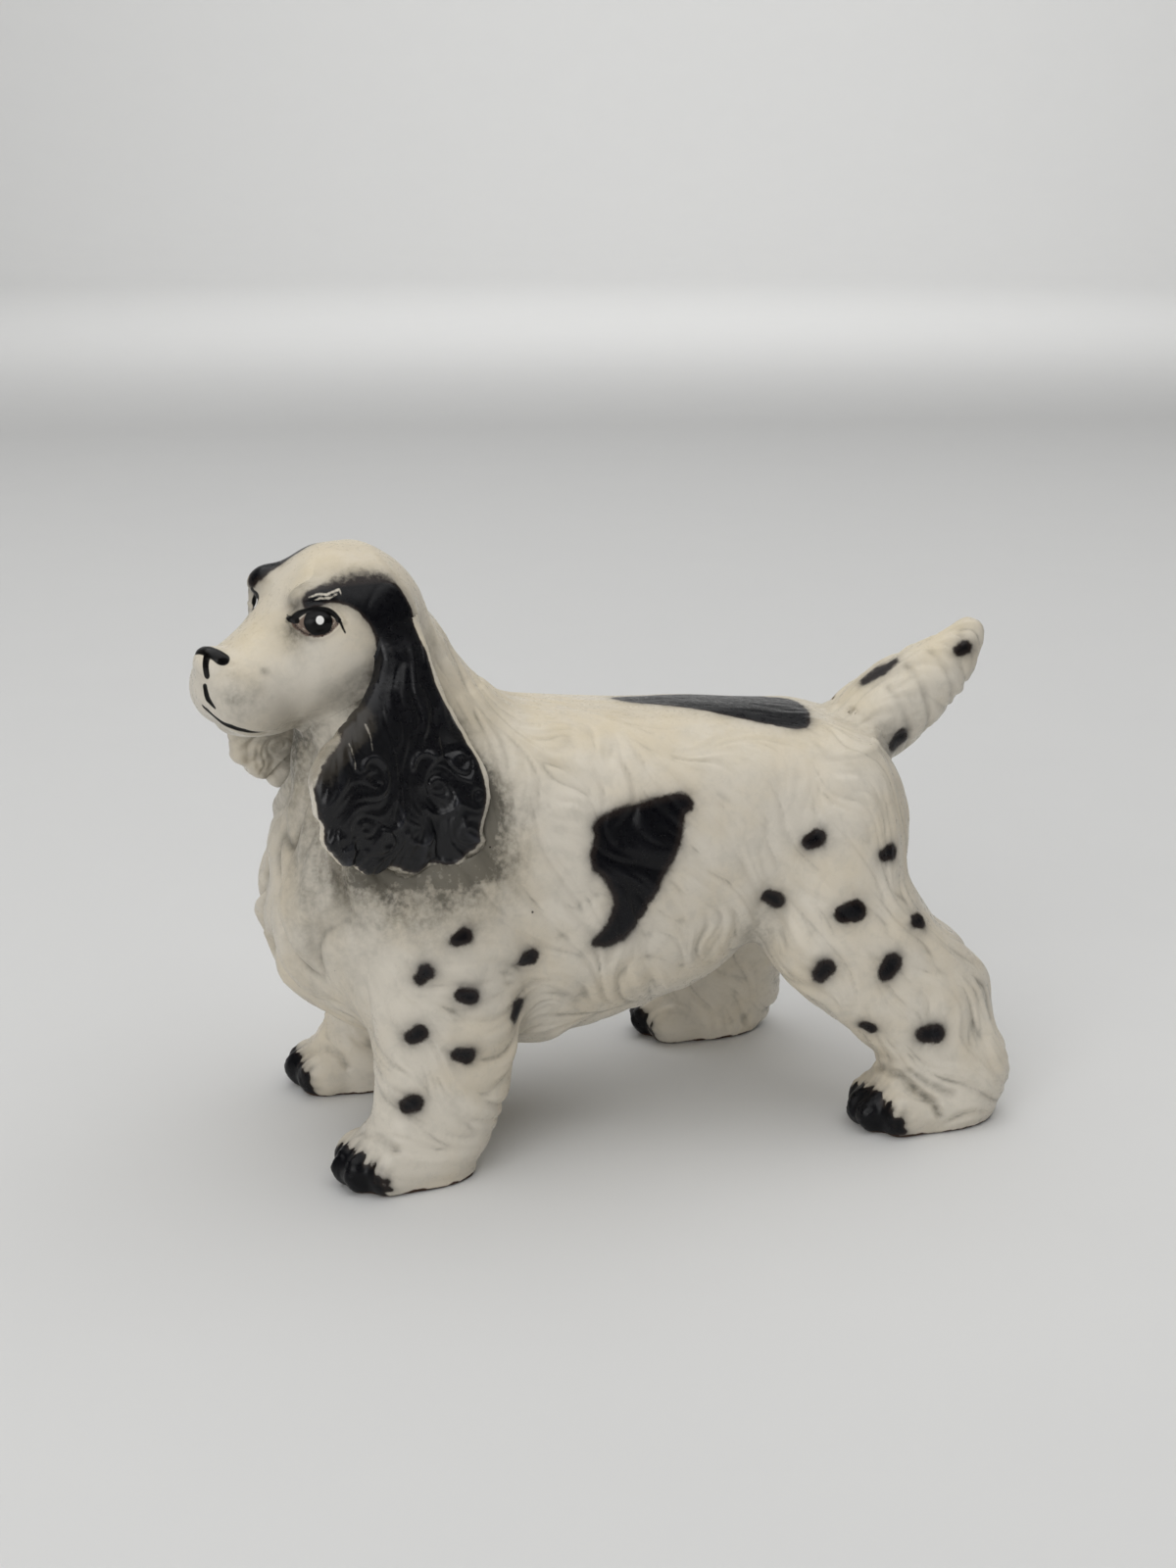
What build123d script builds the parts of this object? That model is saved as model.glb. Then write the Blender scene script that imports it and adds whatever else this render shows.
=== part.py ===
"""Hand-luted ceramic spaniel: nine castings joined face to face.

The dog stands on Z = 0 and faces -X. Its left side is -Y. All sizes are in millimetres.
"""
import os
from math import cos, radians, sin

from build123d import *

# ---------------------------------------------------------------- driving dimensions
WALL = 3.5  # thickness of the hollow castings
LENGTH = 154.0  # nose to tail tip
HEIGHT = 115.0  # sole to crown

HEAD_TURN = 18.0  # degrees, towards the dog's left
HEAD_PIVOT = (-50.0, 0.0)  # where the turning axis of the neck meets the head
SKULL_Z = 100.0
LOFT_SWELL = 0.5  # how far a loft bulges past its outermost sections
NOSE_HALF = 3.5  # half width of the nose
NOSE_EDGE = LOFT_SWELL + NOSE_HALF * sin(radians(HEAD_TURN))
NOSE_REACH = (LENGTH / 2 + HEAD_PIVOT[0] - NOSE_EDGE) / cos(radians(HEAD_TURN))

EAR_THICK = 7.0
EAR_EDGE = 2.5  # rounding of the ear's outer rim
EAR_SPREAD = 20.0  # from the head's middle plane to the ear's inner face, at its foot
EAR_LEAN = 8.0  # degrees, top of the ear leaning in
EAR_FOOT_Z = 58.5

BELLY_VENT_R = 1.75
PIN_VENT_R = 1.5
LEG_VENTS = [(-39.0, 18.0, 33.0), (-39.0, -18.0, 33.0), (43.0, -14.5, 48.0), (41.0, 14.5, 48.0)]
HEAD_VENT_Z = 85.0

# Trunk cross-sections from chest to rump: X, middle Z, half height, half width
TRUNK = [
    (-65.5, 47.5, 5.0, 6.0),
    (-61.5, 47.5, 15.5, 14.5),
    (-54.0, 49.3, 22.7, 20.5),
    (-43.0, 50.2, 29.0, 24.3),
    (-28.0, 50.5, 33.0, 25.8),
    (-10.0, 50.2, 32.3, 25.3),
    (6.0, 51.5, 29.5, 24.5),
    (18.0, 53.6, 26.7, 24.0),
    (28.0, 57.0, 22.3, 23.5),
    (38.0, 58.2, 19.8, 22.5),
    (47.0, 58.4, 16.6, 19.5),
    (53.0, 58.0, 12.0, 14.0),
    (57.5, 58.0, 4.5, 5.5),
]
BELLY_SECTION = 5  # the trunk section with the belly vent in it

# Neck cross-sections from the shoulders up: Z, middle X, half length, half width
NECK = [
    (58.0, -40.0, 24.0, 21.0),
    (70.0, -40.5, 21.5, 19.0),
    (80.0, -41.5, 18.0, 16.5),
    (93.0, -46.0, 13.5, 14.0),
    (101.0, -48.0, 12.0, 12.5),
]

# Head cross-sections from the back of the skull to the nose, along the head's own axis:
# distance in front of the pivot, middle Z, half height, half width
HEAD = [
    (-12.5, SKULL_Z + 1.5, 6.0, 6.0),
    (-9.0, SKULL_Z + 1.0, 10.5, 11.5),
    (0.0, SKULL_Z, HEIGHT - SKULL_Z - LOFT_SWELL, 16.0),
    (9.0, SKULL_Z - 2.0, 13.6, 14.5),
    (15.0, SKULL_Z - 5.8, 10.8, 11.2),
    (21.0, SKULL_Z - 8.7, 8.0, 9.6),
    (26.0, SKULL_Z - 8.8, 6.4, 7.8),
    (NOSE_REACH, SKULL_Z - 8.8, 4.0, NOSE_HALF),
]

# Ear outline: distance in front of the pivot, height above the ear's lower edge
EAR_OUTLINE = [
    (1.0, 0.0),
    (10.5, 2.5),
    (17.0, 9.5),
    (19.4, 17.5),
    (17.0, 25.0),
    (9.5, 30.5),
    (4.5, 36.0),
    (2.8, 42.0),
    (2.4, 47.5),
    (-1.5, 50.5),
    (-5.8, 47.5),
    (-8.0, 39.0),
    (-9.8, 31.0),
    (-14.5, 21.0),
    (-16.2, 13.0),
    (-14.5, 5.5),
    (-8.0, 1.0),
]

# Tail cross-sections from the root to the tip: X, middle Z, half height, half width
TAIL = [
    (46.0, 69.5, 9.0, 8.5),
    (54.0, 73.5, 10.5, 8.5),
    (62.0, 77.5, 10.5, 7.5),
    (70.0, 82.8, 7.8, 6.0),
    (75.0, 87.0, 4.8, 4.0),
    (LENGTH / 2, 89.2, 2.0, 2.0),
]

# Leg cross-sections from the sole up: Z, middle X, half length, middle |Y|, half width
FORELEG = [
    (0.0, -43.0, 14.0, 22.0, 8.0),
    (5.0, -43.3, 15.0, 22.0, 8.7),
    (11.0, -40.0, 14.5, 22.0, 8.4),
    (17.0, -37.8, 12.8, 22.0, 8.5),
    (28.0, -37.6, 13.4, 20.5, 9.5),
    (42.0, -39.0, 15.5, 17.5, 10.0),
    (56.0, -39.0, 13.0, 14.0, 8.0),
]
FORELEG_SHIFT = -1.0  # the right forefoot stands this far ahead of the left

HINDLEG_LEFT = [
    (0.0, 58.0, 13.8, 27.0, 8.0),
    (5.0, 58.8, 16.0, 27.0, 8.8),
    (11.0, 61.0, 14.0, 26.0, 8.4),
    (19.0, 58.5, 14.6, 24.5, 8.6),
    (28.0, 52.5, 18.8, 22.0, 9.6),
    (40.0, 43.0, 17.3, 18.0, 10.5),
    (54.0, 41.0, 13.5, 14.0, 9.5),
    (64.0, 42.0, 9.0, 12.0, 7.0),
]
HINDLEG_RIGHT = [
    (0.0, 29.0, 13.5, 27.3, 8.0),
    (5.0, 30.5, 15.8, 27.3, 8.6),
    (11.0, 34.0, 13.6, 26.5, 8.2),
    (19.0, 36.0, 12.6, 24.5, 8.4),
    (28.0, 38.5, 14.5, 22.0, 9.2),
    (40.0, 40.5, 15.5, 18.0, 10.0),
    (54.0, 41.5, 14.0, 14.0, 9.5),
    (64.0, 42.0, 9.0, 12.0, 7.0),
]
LEG_CORE = 0.36  # core size as a part of the leg's own half length and half width
CORE_FLOOR_Z = 11.0  # the paws are solid up to here

LEFT = -1
RIGHT = 1


# ---------------------------------------------------------------- helpers
def ellipse_on(plane, middle, half_x, half_y):
    """A sketch holding one ellipse, placed by its plane."""
    with BuildSketch(plane) as level:
        with Locations(middle):
            Ellipse(half_x, half_y)
    return level.sketch


def across_x(sections, shrink=0.0, mode=Mode.ADD):
    """Loft ellipses standing across the X axis, each smaller all round by shrink."""
    levels = [
        ellipse_on(Plane.YZ.offset(x), (0, z), half_y - shrink, half_z - shrink)
        for x, z, half_z, half_y in sections
    ]
    loft(levels, mode=mode)


def across_z(sections, shrink=0.0, mode=Mode.ADD):
    """Loft level ellipses on the dog's middle plane, each smaller all round by shrink."""
    levels = [
        ellipse_on(Plane.XY.offset(z), (x, 0), half_x - shrink, half_y - shrink)
        for z, x, half_x, half_y in sections
    ]
    loft(levels, mode=mode)


def head_axis():
    """The direction the turned head faces."""
    turn = radians(HEAD_TURN)
    return Vector(-cos(turn), -sin(turn), 0)


def head_side(side):
    """The direction out of the turned head on one side of the dog."""
    axis = head_axis()
    return Vector(axis.Y, -axis.X, 0) * side


def head_plane(forward):
    """Upright plane across the turned head, with local X level and local Y up."""
    origin = Vector(*HEAD_PIVOT, 0) + head_axis() * forward
    return Plane(origin=origin, x_dir=head_side(LEFT), z_dir=head_axis())


def across_head(sections, shrink=0.0, mode=Mode.ADD):
    """Loft ellipses standing across the turned head's own axis."""
    levels = [
        ellipse_on(head_plane(forward), (0, z), half_y - shrink, half_z - shrink)
        for forward, z, half_z, half_y in sections
    ]
    loft(levels, mode=mode)


def ear_plane(side):
    """Plane of an ear's inner face, with local Y up and local X forward on the right ear only."""
    outward = head_side(side)
    lean = radians(EAR_LEAN)
    origin = Vector(*HEAD_PIVOT, EAR_FOOT_Z) + outward * EAR_SPREAD
    normal = outward * cos(lean) + Vector(0, 0, sin(lean))
    return Plane(origin=origin, x_dir=head_axis() * side, z_dir=normal)


def leg_loft(sections, side, shift=0.0, size=1.0, mode=Mode.ADD):
    """Loft the level ellipses of a leg on one side of the dog."""
    levels = [
        ellipse_on(Plane.XY.offset(z), (x + shift, side * y), half_x * size, half_y * size)
        for z, x, half_x, y, half_y in sections
    ]
    loft(levels, mode=mode)


def air_hole(position, radius=PIN_VENT_R, reach=2 * WALL):
    """Remove a small upright air hole that runs by reach above and below a point."""
    with Locations(position):
        Cylinder(radius, 2 * reach, mode=Mode.SUBTRACT)


# ---------------------------------------------------------------- outer forms
with BuildPart() as head_form:
    across_head(HEAD)

with BuildPart() as neck_form:
    across_z(NECK)

with BuildPart() as torso_form:
    across_x(TRUNK)
    add(neck_form.part)
    add(head_form.part, mode=Mode.SUBTRACT)

# ---------------------------------------------------------------- torso with neck
belly_x, belly_mid, belly_half, _ = TRUNK[BELLY_SECTION]
with BuildPart() as torso:
    add(torso_form.part)
    across_x(TRUNK[1:-1], shrink=WALL, mode=Mode.SUBTRACT)
    across_z(NECK[:3], shrink=WALL, mode=Mode.SUBTRACT)
    air_hole((belly_x, 0, belly_mid - belly_half), radius=BELLY_VENT_R)
    air_hole((HEAD_PIVOT[0], 0, HEAD_VENT_Z))
    for vent in LEG_VENTS:
        air_hole(vent)
torso.part.label = "torso"

# ---------------------------------------------------------------- head
with BuildPart() as head:
    add(head_form.part)
    across_head(HEAD[1:-2], shrink=WALL, mode=Mode.SUBTRACT)
    air_hole((HEAD_PIVOT[0], 0, HEAD_VENT_Z))
head.part.label = "head"

# ---------------------------------------------------------------- tail
with BuildPart() as tail:
    across_x(TAIL)
    add(torso_form.part, mode=Mode.SUBTRACT)
tail.part.label = "tail"

pieces = [torso, head, tail]

# ---------------------------------------------------------------- ears
for side, name in [(LEFT, "ear_left"), (RIGHT, "ear_right")]:
    face = ear_plane(side)
    with BuildPart() as ear:
        with BuildSketch(face):
            with BuildLine():
                Spline(*[(side * forward, up) for forward, up in EAR_OUTLINE], periodic=True)
            make_face()
        extrude(amount=EAR_THICK)
        outer_face = ear.faces().sort_by(Axis(face.origin, face.z_dir))[-1]
        fillet(outer_face.edges(), EAR_EDGE)
        add(torso_form.part, mode=Mode.SUBTRACT)
        add(head_form.part, mode=Mode.SUBTRACT)
    ear.part.label = name
    pieces.append(ear)

# ---------------------------------------------------------------- legs
LEGS = [
    ("foreleg_left", LEFT, FORELEG, 0.0),
    ("foreleg_right", RIGHT, FORELEG, FORELEG_SHIFT),
    ("hindleg_left", LEFT, HINDLEG_LEFT, 0.0),
    ("hindleg_right", RIGHT, HINDLEG_RIGHT, 0.0),
]
for name, side, levels, shift in LEGS:
    core_levels = [level for level in levels if level[0] >= CORE_FLOOR_Z]
    with BuildPart() as leg:
        leg_loft(levels, side, shift)
        leg_loft(core_levels, side, shift, size=LEG_CORE, mode=Mode.SUBTRACT)
        add(torso_form.part, mode=Mode.SUBTRACT)
    leg.part.label = name
    pieces.append(leg)

# ---------------------------------------------------------------- one file for each casting
os.makedirs("parts", exist_ok=True)
for piece in pieces:
    export_step(piece.part, f"parts/{piece.part.label}.step")
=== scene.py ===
"""Ceramic spaniel: the nine luted castings sculpted, hand-painted and glazed around the CAD frame.

The clay is modelled as distance fields in millimetres, in the row frame: the dog faces -X, its left
side is -Y, and it stands on Z = 0. Head shapes use the turned head's own axes: forward, left, up.
"""

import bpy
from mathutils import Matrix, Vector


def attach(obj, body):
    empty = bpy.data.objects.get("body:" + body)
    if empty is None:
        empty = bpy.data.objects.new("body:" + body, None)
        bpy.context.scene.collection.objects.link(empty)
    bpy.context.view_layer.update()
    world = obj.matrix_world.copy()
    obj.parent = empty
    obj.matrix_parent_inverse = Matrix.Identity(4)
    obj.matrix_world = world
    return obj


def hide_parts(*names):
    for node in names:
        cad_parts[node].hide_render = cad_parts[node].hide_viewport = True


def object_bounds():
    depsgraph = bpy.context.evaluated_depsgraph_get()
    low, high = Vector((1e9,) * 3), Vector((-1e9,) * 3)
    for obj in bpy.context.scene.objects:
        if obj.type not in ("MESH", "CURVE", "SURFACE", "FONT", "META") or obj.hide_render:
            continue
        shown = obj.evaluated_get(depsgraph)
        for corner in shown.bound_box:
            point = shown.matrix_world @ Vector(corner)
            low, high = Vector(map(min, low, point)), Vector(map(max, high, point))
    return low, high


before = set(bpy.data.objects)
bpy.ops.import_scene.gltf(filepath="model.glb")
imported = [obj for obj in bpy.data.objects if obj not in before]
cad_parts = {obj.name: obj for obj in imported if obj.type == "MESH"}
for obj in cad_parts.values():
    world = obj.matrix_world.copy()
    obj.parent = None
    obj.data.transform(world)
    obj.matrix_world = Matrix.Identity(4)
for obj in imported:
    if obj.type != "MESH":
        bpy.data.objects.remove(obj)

import copy
import math

import bpy
import numpy as np
import openvdb
from mathutils import Vector

CAD_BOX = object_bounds()
MM = 0.001
GRAIN = 0.45  # lattice step of the clay
FINE_GRAIN = 0.3  # lattice step where the brushwork is fine
FAR = 50.0  # distance stored where there is no clay
SEAM_LAP = 1.2  # how far neighbouring castings lap at a luting seam
EAR_LAP = 0.4  # the same where an ear lies over its neighbour
SEAM_STEP = 0.05  # how far the lower casting sits under its neighbour there
LEFT = -1
RIGHT = 1

rng = np.random.default_rng(1951)

# ---------------------------------------------------------------- driving dimensions
CAD_LOW = np.array(CAD_BOX[0]) / MM
CAD_HIGH = np.array(CAD_BOX[1]) / MM
HEAD_TURN = math.radians(18.0)
HEAD_PIVOT = np.array([-50.0, 0.0])
HEAD_FORWARD = np.array([-math.cos(HEAD_TURN), -math.sin(HEAD_TURN)])
HEAD_LEFT = np.array([math.sin(HEAD_TURN), -math.cos(HEAD_TURN)])

# Stations: place along the axis, high edge, low edge, widest level, half width
TRUNK = [
    (-65.5, 53, 42, 47, 3), (-64, 58, 37, 47, 9), (-60, 65, 31, 47, 16), (-54, 72, 26.5, 47.5, 21),
    (-44, 79, 21, 48, 24.5), (-32, 83.5, 18.5, 49, 26), (-18, 83.3, 17, 50, 25.5), (-6, 82, 19, 52, 25),
    (6, 81, 22, 54, 24.5), (16, 80.5, 26, 56, 24), (26, 79.5, 33, 57.5, 23.5), (38, 78, 38.5, 58.5, 22.5),
    (46, 75.5, 41.5, 59, 20), (52, 71.5, 45, 58.5, 15.5), (56, 65.5, 50, 58, 9.5), (57.5, 60, 56, 58, 3),
]
TAIL = [
    (44, 74, 62, 69, 7.5), (51, 80.5, 63.5, 73, 8.5), (57, 84.6, 65.5, 76, 8), (62, 87, 68.5, 78.5, 7.3),
    (67, 89, 72.5, 81, 6.5), (71.5, 91, 77, 84.4, 5.2), (75, 92.3, 82, 87.6, 3.8),
    (76.6, 91.8, 87, 89.4, 2),
]
# The head along its own axis, from the occiput to the nose
HEAD = [
    (-14, 104, 99, 101, 2), (-12, 107.3, 94, 100.5, 8), (-8, 111.6, 90, 100.5, 12.6),
    (-3, 114.4, 87.5, 100, 15.3), (2, 114.4, 86, 99, 15.8), (7, 112.6, 84.8, 98, 15),
    (11, 109.6, 84, 97, 13.4), (14, 105.8, 83.6, 95.5, 11.6), (17, 102.4, 83.4, 93, 10.3),
    (20, 100.2, 83.5, 91, 9.7), (23, 98.4, 84.2, 90.5, 9), (25.5, 97.4, 85.6, 90.8, 7.8),
    (27.5, 95.8, 87.6, 91.5, 5.4), (28.5, 93.2, 89.8, 91.5, 2.2),
]
# Legs upwards from the sole: level, front edge, back edge, middle of the side, half width
FORELEG = [
    (-1, -55, -32.5, 22, 7.4), (3, -55.5, -31.8, 22, 8.2), (7, -54, -29.5, 22, 8.3),
    (10, -52.5, -28.3, 22, 8.2), (13, -51, -27.3, 22, 8.2), (18, -50.2, -25.8, 21.8, 8.4),
    (26, -50.6, -24.2, 21, 9.3), (36, -52, -23, 19, 11), (48, -52.5, -24, 16.5, 11.5),
    (60, -49, -27, 13, 10), (68, -45, -31, 10, 7),
]
FORELEG_SHIFT = -1.0
HINDLEG_LEFT = [
    (-1, 46, 70, 27, 7.6), (3, 45, 72, 27, 8.6), (7, 45.5, 73, 26.7, 8.7), (10, 47, 73.3, 26.3, 8.6),
    (13, 47.5, 73, 25.8, 8.4), (18, 43.5, 71.6, 24.8, 8.8), (26, 33.5, 71, 22.3, 10),
    (32, 28, 67.5, 20.5, 11), (40, 25.5, 59.5, 18.5, 12), (50, 26, 53.8, 16, 12), (62, 29, 52.5, 13, 11.5),
    (72, 34, 50, 9, 9),
]
HINDLEG_RIGHT = [
    (-1, 19.5, 41.5, 27.3, 7.6), (3, 18.5, 44.5, 27.3, 8.5), (7, 19.5, 46.5, 26.9, 8.5),
    (10, 21.5, 47, 26.4, 8.4), (13, 23, 47, 25.8, 8.4), (18, 24, 47.5, 24.8, 8.8), (26, 24.5, 51, 22.3, 10),
    (40, 25.5, 57, 18.5, 12), (50, 26, 55.5, 16, 12), (62, 29, 53.5, 13, 11.5), (72, 34, 50, 9, 9),
]
# Ear outline in the head's side plane: forward, up
EAR_OUTLINE = [
    (-1, 109), (3.2, 105), (1.8, 100.5), (2.2, 96), (5, 91.5), (9, 88.4), (13, 86), (17, 83.4),
    (19.6, 79.8), (19.7, 75), (18.4, 70.6), (15.4, 66.8), (11.6, 63.8), (7.4, 61.8), (2.6, 60.6),
    (-2.4, 60.1), (-6.4, 60.2), (-8.9, 61.8), (-10.8, 65), (-12.4, 69.4), (-13.6, 73.2), (-13.7, 78),
    (-11.6, 84), (-8.4, 91), (-8, 98), (-6.6, 104), (-4, 108),
]
# Scallops along the ear's lower rim: centre (forward, up), radius
SCALLOPS = [(16, 69.4, 3.1), (13.8, 66.8, 3), (9, 64.3, 3.5), (1.8, 62.8, 3.5), (-4.4, 63, 3.6),
            (-7.8, 65, 3.2)]
SCALLOP_BLEND = 1.2
# Middle of the ear's thickness: level, distance from the head's middle plane
EAR_HANG = [(57, 24.5), (66, 24.5), (76, 23.2), (85, 21), (92, 18.6), (98, 16.2), (104, 13.4), (110, 10)]
EAR_THICK = 3.6  # half thickness in the ear's middle
EAR_RIM = 0.5  # half thickness at its edge
# How each ear's lobe is moved from the outline: forward, up
EAR_SHIFT = {"ear_left": (0.0, 0.0), "ear_right": (-8.0, 2.0)}


# ---------------------------------------------------------------- number helpers
def ease(low, high, value):
    """0 below low, 1 above high, and an even turn between."""
    t = np.clip((value - low) / (high - low), 0.0, 1.0)
    return t * t * (3.0 - 2.0 * t)


def smooth_min(a, b, blend):
    """The smaller of two distances, rounded over a width of blend."""
    h = np.clip(0.5 + 0.5 * (b - a) / blend, 0.0, 1.0)
    return b + (a - b) * h - blend * h * (1.0 - h)


def smooth_max(a, b, blend):
    return -smooth_min(-a, -b, blend)


def eased(stations, samples=160):
    """Resample stations along a smooth curve that doesn't overshoot them."""
    table = np.array(stations, dtype=float)
    x, y = table[:, :1], table[:, 1:]
    step = np.diff(x, axis=0)
    slope = np.diff(y, axis=0) / step
    tangent = np.zeros_like(y)
    same = slope[1:] * slope[:-1] > 0
    total = slope[1:] + slope[:-1]
    tangent[1:-1] = np.where(same, 2 * slope[1:] * slope[:-1] / np.where(total == 0, 1, total), 0)
    tangent[0], tangent[-1] = slope[0], slope[-1]
    at = np.linspace(x[0, 0], x[-1, 0], samples)
    i = np.clip(np.searchsorted(x[:, 0], at) - 1, 0, len(x) - 2)
    t = ((at - x[i, 0]) / step[i, 0])[:, None]
    h = step[i]
    curve = (
        (1 + 2 * t) * (1 - t) ** 2 * y[i]
        + t * (1 - t) ** 2 * h * tangent[i]
        + t * t * (3 - 2 * t) * y[i + 1]
        + t * t * (t - 1) * h * tangent[i + 1]
    )
    return at, curve.T


def outline_curve(points, per_side=5):
    """A closed outline rounded through its points."""
    p = np.array(points, dtype=float)
    before, after, beyond = np.roll(p, 1, 0), np.roll(p, -1, 0), np.roll(p, -2, 0)
    rows = []
    for t in np.arange(per_side) / per_side:
        rows.append(0.5 * (
            2 * p + (after - before) * t
            + (2 * before - 5 * p + 4 * after - beyond) * t * t
            + (3 * p - before - 3 * after + beyond) * t ** 3
        ))
    return np.stack(rows, 1).reshape(-1, 2)


def outline_distance(a, b, corners):
    """Signed distance from points (a, b) to a closed outline, negative inside."""
    best = np.full(np.shape(a), FAR * FAR, dtype=np.float32)
    inside = np.zeros(np.shape(a), dtype=bool)
    ends = np.roll(corners, -1, 0)
    for (a0, b0), (a1, b1) in zip(corners, ends):
        da, db = a1 - a0, b1 - b0
        pa, pb = a - a0, b - b0
        t = np.clip((pa * da + pb * db) / (da * da + db * db + 1e-9), 0.0, 1.0)
        best = np.minimum(best, (pa - t * da) ** 2 + (pb - t * db) ** 2)
        crosses = (b0 > b) != (b1 > b)
        side = pa * db - pb * da
        inside ^= crosses & ((side < 0) if db > 0 else (side > 0))
    return np.where(inside, -1, 1) * np.sqrt(best)


def cell_corners(cell, f):
    """The eight corners of lattice cells, each with its weight at a fraction f of the way across."""
    for a in (0, 1):
        for b in (0, 1):
            for c in (0, 1):
                weight = (
                    (f[:, 0] if a else 1 - f[:, 0])
                    * (f[:, 1] if b else 1 - f[:, 1])
                    * (f[:, 2] if c else 1 - f[:, 2])
                )
                yield (cell + (a, b, c)).T, weight


# ---------------------------------------------------------------- clay shapes
class Shape:
    """A solid: the box that it fills, and its signed distance at points x, y, z."""

    def __init__(self, low, high, distance):
        self.low = np.array(low, dtype=float)
        self.high = np.array(high, dtype=float)
        self.distance = distance


def egg(centre, radii, turn=0.0, tilt=0.0):
    """An ellipsoid, tilted nose up and then turned about Z, in degrees."""
    ct, st = math.cos(math.radians(turn)), math.sin(math.radians(turn))
    cp, sp = math.cos(math.radians(tilt)), math.sin(math.radians(tilt))
    reach = max(radii)

    def distance(x, y, z):
        x, y, z = x - centre[0], y - centre[1], z - centre[2]
        x, y = x * ct + y * st, y * ct - x * st
        x, z = x * cp + z * sp, z * cp - x * sp
        k0 = np.sqrt((x / radii[0]) ** 2 + (y / radii[1]) ** 2 + (z / radii[2]) ** 2)
        k1 = np.sqrt((x / radii[0] ** 2) ** 2 + (y / radii[1] ** 2) ** 2 + (z / radii[2] ** 2) ** 2)
        return k0 * (k0 - 1.0) / (k1 + 1e-6)

    return Shape(np.array(centre) - reach, np.array(centre) + reach, distance)


def limb(*joints, flat=1.0):
    """Round cones through joints (x, y, z, radius); flat squeezes them across Y."""
    joints = np.array(joints, dtype=float)
    reach = joints[:, 3:].max()

    def distance(x, y, z):
        best = FAR
        for a, b in zip(joints[:-1], joints[1:]):
            bx, by, bz = b[:3] - a[:3]
            px, py, pz = x - a[0], (y - a[1]) / flat, z - a[2]
            h = (px * bx + py * by / flat + pz * bz) / (bx * bx + by * by / flat ** 2 + bz * bz)
            h = np.clip(h, 0.0, 1.0)
            gap = np.sqrt((px - h * bx) ** 2 + (py - h * by / flat) ** 2 + (pz - h * bz) ** 2)
            best = np.minimum(best, gap - (a[3] + (b[3] - a[3]) * h))
        return best

    return Shape(joints[:, :3].min(0) - reach, joints[:, :3].max(0) + reach, distance)


def swept(stations, along, side=0, shift=0.0, square=2.0):
    """A body swept through stations. Along X or the head axis the section stands in Z; along Z it
    lies in X, to one side of the dog."""
    at, (high, low, widest, half) = eased(stations)
    if along == "z":
        middle = widest * side
        box_low = (min(high.min(), low.min()) + shift, (middle - half).min(), at[0])
        box_high = (max(high.max(), low.max()) + shift, (middle + half).max(), at[-1])
    else:
        box_low = (at[0], -half.max(), low.min())
        box_high = (at[-1], half.max(), high.max())

    def distance(x, y, z):
        if along == "z":
            run, p, q = z, x - shift, y
            front, back = np.interp(run, at, high), np.interp(run, at, low)
            level = 0.5 * (front + back)
            reach_p = 0.5 * (back - front)
            wide = np.interp(run, at, half)
            q = q - np.interp(run, at, middle)
        else:
            run, p, q = x, z, y
            level = np.interp(run, at, widest)
            reach_p = np.where(p > level, np.interp(run, at, high) - level, level - np.interp(run, at, low))
            wide = np.interp(run, at, half)
        ratio = (np.abs((p - level) / reach_p) ** square + np.abs(q / wide) ** square) ** (1.0 / square)
        body = (ratio - 1.0) * np.minimum(reach_p, wide)
        return np.maximum(body, np.maximum(at[0] - run, run - at[-1]))

    return Shape(box_low, box_high, distance)


def in_head(shape):
    """A shape given in the head's own axes, put into the row frame."""
    def distance(x, y, z):
        dx, dy = x - HEAD_PIVOT[0], y - HEAD_PIVOT[1]
        forward = dx * HEAD_FORWARD[0] + dy * HEAD_FORWARD[1]
        left = dx * HEAD_LEFT[0] + dy * HEAD_LEFT[1]
        return shape.distance(forward, left, z)

    corners = [
        HEAD_PIVOT + HEAD_FORWARD * s + HEAD_LEFT * t
        for s in (shape.low[0], shape.high[0]) for t in (shape.low[1], shape.high[1])
    ]
    low, high = np.min(corners, 0), np.max(corners, 0)
    return Shape((*low, shape.low[2]), (*high, shape.high[2]), distance)


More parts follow.
